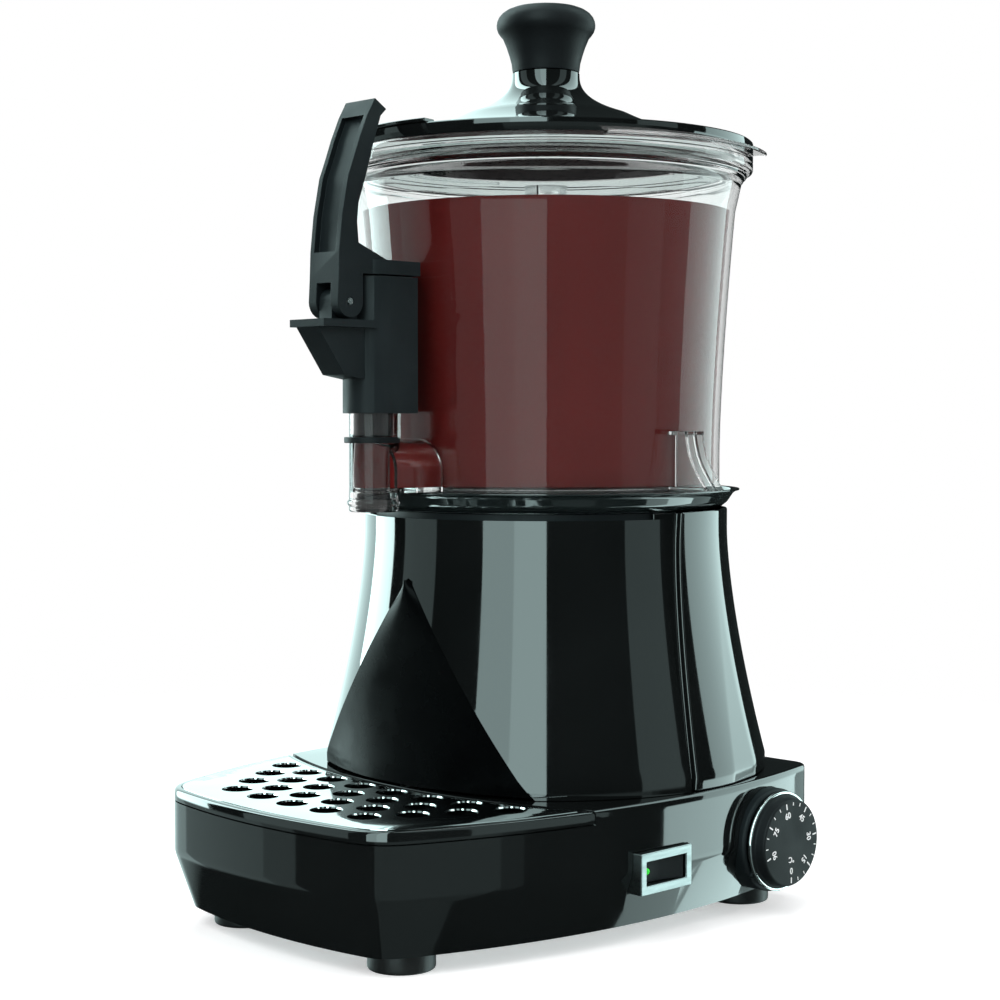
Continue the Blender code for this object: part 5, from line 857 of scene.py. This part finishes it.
def build_lid():
    outer = [(0.0, LID_TOP)]
    outer += [lid_crown(i / LID_CROWN_STEPS) for i in range(LID_CROWN_STEPS + 1)]
    outer += [lid_slope(i / LID_SLOPE_STEPS) for i in range(1, LID_SLOPE_STEPS + 1)]
    inner = [(0.1061, 0.3858), (0.1061, 0.3809), (0.1056, 0.3803), (0.0968, 0.3802), (0.0940, 0.3806),
             (0.0940, 0.3838)]
    for i in range(LID_SLOPE_STEPS, -1, -1):
        radius, height = lid_slope(i / LID_SLOPE_STEPS)
        if radius < 0.0935:
            inner.append((radius - 0.0013, height - LID_WALL))
    for i in range(14, 5, -1):
        radius, height = lid_crown(i / LID_CROWN_STEPS)
        inner.append((radius - LID_WALL, height - LID_WALL))
    inner.append((0.0, inner[-1][1]))
    lid = turned("lid_cover", outer + inner, "lid", GLOSS_BLACK, 192, angle=40.0)
    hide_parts("lid")
    spigot = ring_profile(0.0940, 0.0965, 0.3712, 0.3800)
    turned("lid_spigot", eased(spigot, 0.0006, 3, True), "lid", SMOKED, 160)
    tab = sector(0.0975, 0.1058, 0.3868, 0.3886, -90.0, 11.5, 16, "lid_front_tab", "lid", GLOSS_BLACK)
    soft_edges(tab, 0.0005, 3)
    knob = [(0.0, 0.4239), (0.0150, 0.4239), (0.0170, 0.4243), (0.0173, 0.4256), (0.0177, 0.4290),
            (0.0188, 0.4330),
            (0.0203, 0.4375), (0.0222, 0.4420), (0.0236, 0.4436), (0.0247, 0.4452), (0.0253, 0.4470),
            (0.0254, 0.4486), (0.0251, 0.4504), (0.0243, 0.4522), (0.0228, 0.4540), (0.0205, 0.4556),
            (0.0175, 0.4568), (0.0135, 0.4576), (0.0085, 0.45795), (0.0, 0.4580)]
    piece = turned("lid_handle", knob, "lid", KNOB_BLACK, 96, angle=60.0)
    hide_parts("lid_knob")


def build_feet():
    for side, label in ((-1, "left"), (1, "right")):
        for place, end in (((side * 0.0575, -0.151), "front"), ((side * 0.0809, 0.059), "back")):
            profile = ((0.0025, 0.010), (0.0025, 0.005), (0.0048, 0.005), (0.0048, 0.0), (0.0152, 0.0),
                       (0.0156, 0.0012),
                       (0.0154, 0.0100))
            foot = turned("foot_pad_" + end + "_" + label, eased(profile, 0.0009, 3, True), "base", RUBBER,
                          64, (*place, 0))
            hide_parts("rubber_foot_" + end + "_" + label)


def build_thermostat():
    bezel = eased(((0.0, 0.098), (0.0255, 0.098), (0.0255, 0.1166), (0.0243, 0.1178), (0.0232, 0.1178),
                   (0.0226, 0.1138), (0.0, 0.1138)), 0.0007, 4)
    piece = turned("thermostat_collar", bezel, "base", MATT_BLACK, 96, THERMOSTAT, "x")
    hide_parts("thermostat_bezel")
    turn = math.radians(218.0)
    middle = (THERMOSTAT[1] + 0.0236 * math.cos(turn), THERMOSTAT[2] + 0.0236 * math.sin(turn))
    turned("pointer_bump", eased(((0.0, 0.1150), (0.0019, 0.1150), (0.0019, 0.1187), (0.0, 0.1190)), 0.0005,
                                 3),
           "base", MATT_BLACK, 32, (0, middle[0], middle[1]), "x")
    body = [(0.0, 0.1184), (0.0232, 0.1184), (0.0236, 0.1190), (0.0236, 0.1212), (0.0228, 0.1216),
            (0.0221, 0.1222),
            (0.0216, 0.1260), (0.0212, 0.1268), (0.0206, DIAL_FACE), (0.0, DIAL_FACE)]
    piece = turned("dial_cap", eased(body, 0.0003, 2), "dial", KNOB_BLACK, 128, THERMOSTAT, "x")
    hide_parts("thermostat_knob")
    trim = eased(((0.0226, 0.1192), (0.0242, 0.1192), (0.0247, 0.1198), (0.0247, 0.1206), (0.0242, 0.1212),
                  (0.0226, 0.1212)), 0.0005, 3, True)
    piece = turned("dial_trim", trim, "dial", POLISHED_STEEL, 128, THERMOSTAT, "x", 60.0)
    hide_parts("knob_ring")
    ticks = bmesh.new()
    for i in range(19):
        degrees = -90.0 + NUMBER_STEP * i / 3
        long = i % 3 == 0
        add_tick(ticks, degrees, 0.0172 if long else 0.0184, 0.0200, 0.00034 if long else 0.00022)
    finish_piece("dial_ticks", ticks, "dial", PRINT_WHITE)
    for i in range(7):
        add_number(str(15 * i), -90.0 + NUMBER_STEP * i, 0.0138, 0.0043, "dial_number_" + str(15 * i))
    add_number("°C", -90.0, 0.0082, 0.0040, "dial_unit")


def add_tick(maker, degrees, inner, outer, half):
    turn = math.radians(degrees)
    out = Vector((0.0, math.cos(turn), math.sin(turn)))
    across = Vector((0.0, -math.sin(turn), math.cos(turn))) * half
    centre = Vector(THERMOSTAT)
    low = [centre + out * inner - across, centre + out * outer - across, centre + out * outer + across,
           centre + out * inner + across]
    rows = [[maker.verts.new(point + Vector((x, 0, 0))) for point in low] for x in (DIAL_FACE - 0.0001,
                                                                                    PRINT_TOP)]
    for i in range(4):
        j = (i + 1) % 4
        maker.faces.new((rows[0][i], rows[0][j], rows[1][j], rows[1][i]))
    maker.faces.new(rows[0])
    maker.faces.new(rows[1])


def add_number(text, degrees, radius, height, name):
    """A number printed on the dial, with its foot towards the middle."""
    curve = bpy.data.curves.new(name, "FONT")
    curve.body = text
    curve.size = height
    curve.align_x = "CENTER"
    curve.align_y = "CENTER"
    curve.extrude = (PRINT_TOP - DIAL_FACE) / 2
    curve.offset = 0.00006
    text_object = bpy.data.objects.new(name + "_text", curve)
    bpy.context.collection.objects.link(text_object)
    bpy.context.view_layer.update()
    mesh = bpy.data.meshes.new_from_object(text_object.evaluated_get(bpy.context.evaluated_depsgraph_get()))
    bpy.data.objects.remove(text_object)
    turn = math.radians(degrees)
    up = Vector((0.0, math.cos(turn), math.sin(turn)))
    face = Vector((1.0, 0.0, 0.0))
    right = up.cross(face)
    place = Vector(THERMOSTAT) + up * radius + face * (DIAL_FACE + PRINT_TOP) / 2 + SHIFT
    mesh.transform(axes_matrix(right, up, face, place))
    mesh.materials.clear()
    mesh.materials.append(PRINT_WHITE)
    made = bpy.data.objects.new(name, mesh)
    bpy.context.collection.objects.link(made)
    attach(made, "dial")


# Nodes that show in their own shape: node, body, finish, width of the soft edge and its segments
DRESSED = (("tap_housing", "bowl", MATT_BLACK, 0.0005, 3), ("tap_lever", "lever", MATT_BLACK, 0.0011, 4),
           ("tube_ring", "bowl", KNOB_BLACK, 0.0004, 2), ("tap_piston", "piston", MATT_BLACK, 0.0003, 2),
           ("switch_frame", "base", FRAME_STEEL, 0.0005, 3),
           ("switch_rocker", "rocker", KNOB_BLACK, 0.0004, 3),
           ("switch_lamp", "rocker", LAMP, 0.0003, 2), ("cord_gland", "base", MATT_BLACK, 0.0003, 2),
           ("heated_plate", "base", BRUSHED_STEEL, 0.0004, 2),
           ("centre_tube", "base", BRUSHED_STEEL, 0.0003, 2),
           ("stirrer", "stirrer", POLISHED_STEEL, 0.0005, 2))


def dress_nodes():
    """Carried-over nodes: finer copies of those that show, and finishes for the rest."""
    for row in DRESSED:
        from_node(*row)
    finishes = {"polished_steel": POLISHED_STEEL, "plain_steel": BRUSHED_STEEL, "rubber": RUBBER,
                "brass": BRONZE,
                "grey_plastic": GREY_PLASTIC, "white_plastic": WHITE_PLASTIC, "matt_black": MATT_BLACK,
                "gloss_black": GLOSS_BLACK, "clear_plastic": CLEAR, "green_lens": LAMP}
    for name, node in frame["nodes"].items():
        for i in range(len(node.material_slots)):
            node.material_slots[i].material = finishes[slots[name]]


def build_camera():
    azimuth = math.radians(CAMERA_AZIMUTH)
    yaw = math.radians(CAMERA_YAW)
    pitch = math.radians(CAMERA_PITCH)
    ahead = Vector((-math.sin(azimuth), math.cos(azimuth), 0.0))
    aside = Vector((math.cos(azimuth), math.sin(azimuth), 0.0))
    forward = ahead * math.cos(yaw) - aside * math.sin(yaw)
    right = aside * math.cos(yaw) + ahead * math.sin(yaw)
    view = forward * math.cos(pitch) - Vector((0.0, 0.0, math.sin(pitch)))
    up = right.cross(view)
    data = bpy.data.cameras.new("camera")
    data.lens = LENS
    data.sensor_width = 36.0
    camera = bpy.data.objects.new("camera", data)
    bpy.context.collection.objects.link(camera)
    camera.matrix_world = axes_matrix(right, up, -view, Vector(CAMERA_PLACE))
    bpy.context.scene.camera = camera


# Soft lamps: name, place, size and power
LAMPS = (("key", (0.55, -1.5, 1.5), 1.2, 26.0), ("fill", (1.5, 0.2, 1.1), 1.2, 12.0),
         ("top", (-0.4, 0.4, 1.8), 1.4, 20.0))
LAMP_TARGET = (0.0, 0.0, 0.2)


def area_light(name, place, size, power):
    """A soft lamp aimed at the object; glossy surfaces show the studio's bands instead of it."""
    data = bpy.data.lights.new(name, "AREA")
    data.size = size
    data.energy = power
    lamp = bpy.data.objects.new(name, data)
    bpy.context.collection.objects.link(lamp)
    lamp.location = place
    lamp.rotation_euler = (Vector(LAMP_TARGET) - Vector(place)).to_track_quat("-Z", "Y").to_euler()
    lamp.visible_glossy = False


# The studio as glossy surfaces see it, in three tiers by height: a direction round the object, in degrees
# from +X, and a brightness from there on
UPPER_BANDS = ((-180.0, 7.0), (-156.0, 0.02), (-144.1, 0.50), (-117.2, 0.02), (-84.7, 3.0), (-65.0, 3.8),
               (-45.1, 0.02), (4.0, 0.50), (28.9, 0.02), (49.4, 2.3), (93.4, 0.02), (134.4, 1.5))
BASE_BANDS = ((-180.0, 0.9), (-165.0, 0.40), (-140.0, 0.26), (-132.0, 0.02), (-70.0, 0.22), (8.5, 0.10),
              (13.0, 0.02),
              (41.5, 3.2), (80.0, 0.8), (93.4, 0.02), (134.4, 1.0))
LOW_BANDS = ((-180.0, 0.02), (-70.0, 0.14), (8.5, 0.02), (49.0, 1.2), (62.0, 3.2), (80.0, 0.5), (93.4, 0.02))
# The studio's light is faintly teal
STUDIO_TINT = (0.75, 1.0, 0.99)
# Heights, as the z of a ray's direction, between which one tier gives way to the next
UPPER_TIER = (-0.13, -0.10)
BASE_TIER = (-0.44, -0.36)
DIFFUSE_LEVEL = 0.45
FLOOR_HALF_SIZE = 1.0
FLOOR_GLOW = 0.45
# Distances from the middle between which the floor fades out
FLOOR_FADE = (0.35, 0.85)


def band_ramp(tree, angle, bands):
    """A ramp of grey levels by the direction round the object."""
    ramp = tree.nodes.new("ShaderNodeValToRGB")
    ramp.color_ramp.interpolation = "CONSTANT"
    marks = ramp.color_ramp.elements
    for i, (degrees, level) in enumerate(bands):
        spot = (degrees + 180.0) / 360.0
        mark = marks[i] if i < 2 else marks.new(spot)
        mark.position = spot
        mark.color = (*[level * share for share in STUDIO_TINT], 1.0)
    tree.links.new(angle, ramp.inputs["Fac"])
    return ramp.outputs["Color"]


def tiered(tree, height, limits, below, above):
    """Blend two colours over a range of heights."""
    mix = tree.nodes.new("ShaderNodeMixRGB")
    tree.links.new(spread(tree, height, 0.0, 1.0, *limits), mix.inputs["Fac"])
    tree.links.new(below, mix.inputs["Color1"])
    tree.links.new(above, mix.inputs["Color2"])
    return mix.outputs["Color"]


def seen_rays(tree, path):
    """One for rays from the camera, also through something clear, and zero for others."""
    seen = tree.nodes.new("ShaderNodeMath")
    seen.operation = "MAXIMUM"
    tree.links.new(path.outputs["Is Camera Ray"], seen.inputs[0])
    tree.links.new(path.outputs["Is Transmission Ray"], seen.inputs[1])
    return seen.outputs["Value"]


def build_world():
    world = bpy.data.worlds.new("studio")
    world.use_nodes = True
    bpy.context.scene.world = world
    tree = world.node_tree
    tree.nodes.clear()
    out = tree.nodes.new("ShaderNodeOutputWorld")
    path = tree.nodes.new("ShaderNodeLightPath")
    place = tree.nodes.new("ShaderNodeTexCoord")
    radial = tree.nodes.new("ShaderNodeTexGradient")
    radial.gradient_type = "RADIAL"
    tree.links.new(place.outputs["Generated"], radial.inputs["Vector"])
    split = tree.nodes.new("ShaderNodeSeparateXYZ")
    tree.links.new(place.outputs["Generated"], split.inputs["Vector"])
    upper, base, low = [band_ramp(tree, radial.outputs["Fac"], bands)
                        for bands in (UPPER_BANDS, BASE_BANDS, LOW_BANDS)]
    lower = tiered(tree, split.outputs["Z"], BASE_TIER, low, base)
    glossy = tree.nodes.new("ShaderNodeBackground")
    tree.links.new(tiered(tree, split.outputs["Z"], UPPER_TIER, lower, upper), glossy.inputs["Color"])
    diffuse = tree.nodes.new("ShaderNodeBackground")
    diffuse.inputs["Color"].default_value = (0.95, 0.98, 1.0, 1.0)
    diffuse.inputs["Strength"].default_value = DIFFUSE_LEVEL
    white = tree.nodes.new("ShaderNodeBackground")
    white.inputs["Color"].default_value = (1.0, 1.0, 1.0, 1.0)
    seen = seen_rays(tree, path)
    first = tree.nodes.new("ShaderNodeMixShader")
    tree.links.new(path.outputs["Is Glossy Ray"], first.inputs["Fac"])
    tree.links.new(diffuse.outputs["Background"], first.inputs[1])
    tree.links.new(glossy.outputs["Background"], first.inputs[2])
    second = tree.nodes.new("ShaderNodeMixShader")
    tree.links.new(seen, second.inputs["Fac"])
    tree.links.new(first.outputs["Shader"], second.inputs[1])
    tree.links.new(white.outputs["Background"], second.inputs[2])
    tree.links.new(second.outputs["Shader"], out.inputs["Surface"])


def build_floor():
    """A pale floor: it keeps the shadow, fades into the white backdrop and lets glossy rays by."""
    made, tree, shader = new_material("pale_floor")
    tree.links.new(tint(tree, noise(tree, 3.0), (0.80, 0.80, 0.80), (0.82, 0.82, 0.82)),
                   shader.inputs["Base Color"])
    shader.inputs["Roughness"].default_value = 0.9
    shader.inputs["Specular IOR Level"].default_value = 0.0
    path = tree.nodes.new("ShaderNodeLightPath")
    seen = seen_rays(tree, path)
    glow = tree.nodes.new("ShaderNodeMath")
    glow.operation = "MULTIPLY"
    glow.inputs[1].default_value = FLOOR_GLOW
    tree.links.new(seen, glow.inputs[0])
    tree.links.new(glow.outputs["Value"], shader.inputs["Emission Strength"])
    shader.inputs["Emission Color"].default_value = (1.0, 1.0, 1.0, 1.0)
    place = tree.nodes.new("ShaderNodeTexCoord")
    reach = tree.nodes.new("ShaderNodeVectorMath")
    reach.operation = "LENGTH"
    tree.links.new(place.outputs["Object"], reach.inputs[0])
    hidden = tree.nodes.new("ShaderNodeMath")
    hidden.operation = "MAXIMUM"
    tree.links.new(spread(tree, reach.outputs["Value"], 0.0, 1.0, *FLOOR_FADE), hidden.inputs[0])
    tree.links.new(path.outputs["Is Glossy Ray"], hidden.inputs[1])
    clear = tree.nodes.new("ShaderNodeBsdfTransparent")
    mix = tree.nodes.new("ShaderNodeMixShader")
    tree.links.new(hidden.outputs["Value"], mix.inputs["Fac"])
    tree.links.new(shader.outputs["BSDF"], mix.inputs[1])
    tree.links.new(clear.outputs["BSDF"], mix.inputs[2])
    tree.links.new(mix.outputs["Shader"], tree.nodes["Material Output"].inputs["Surface"])
    mesh = bpy.data.meshes.new("floor")
    size = FLOOR_HALF_SIZE
    mesh.from_pydata([(-size, -size, 0), (size, -size, 0), (size, size, 0), (-size, size, 0)], [],
                     [(0, 1, 2, 3)])
    mesh.materials.append(made)
    floor = bpy.data.objects.new("floor", mesh)
    bpy.context.collection.objects.link(floor)


def main():
    build_camera()
    build_world()
    build_floor()
    for lamp in LAMPS:
        area_light(*lamp)
    build_base()
    build_tray()
    build_grille()
    build_front_shell()
    build_back_shell()
    build_front_panel()
    build_gutter()
    build_bowl()
    build_drink()
    build_lid()
    build_feet()
    build_thermostat()
    dress_nodes()
    scene = bpy.context.scene
    scene.view_settings.view_transform = "Standard"
    bpy.context.view_layer.update()


main()
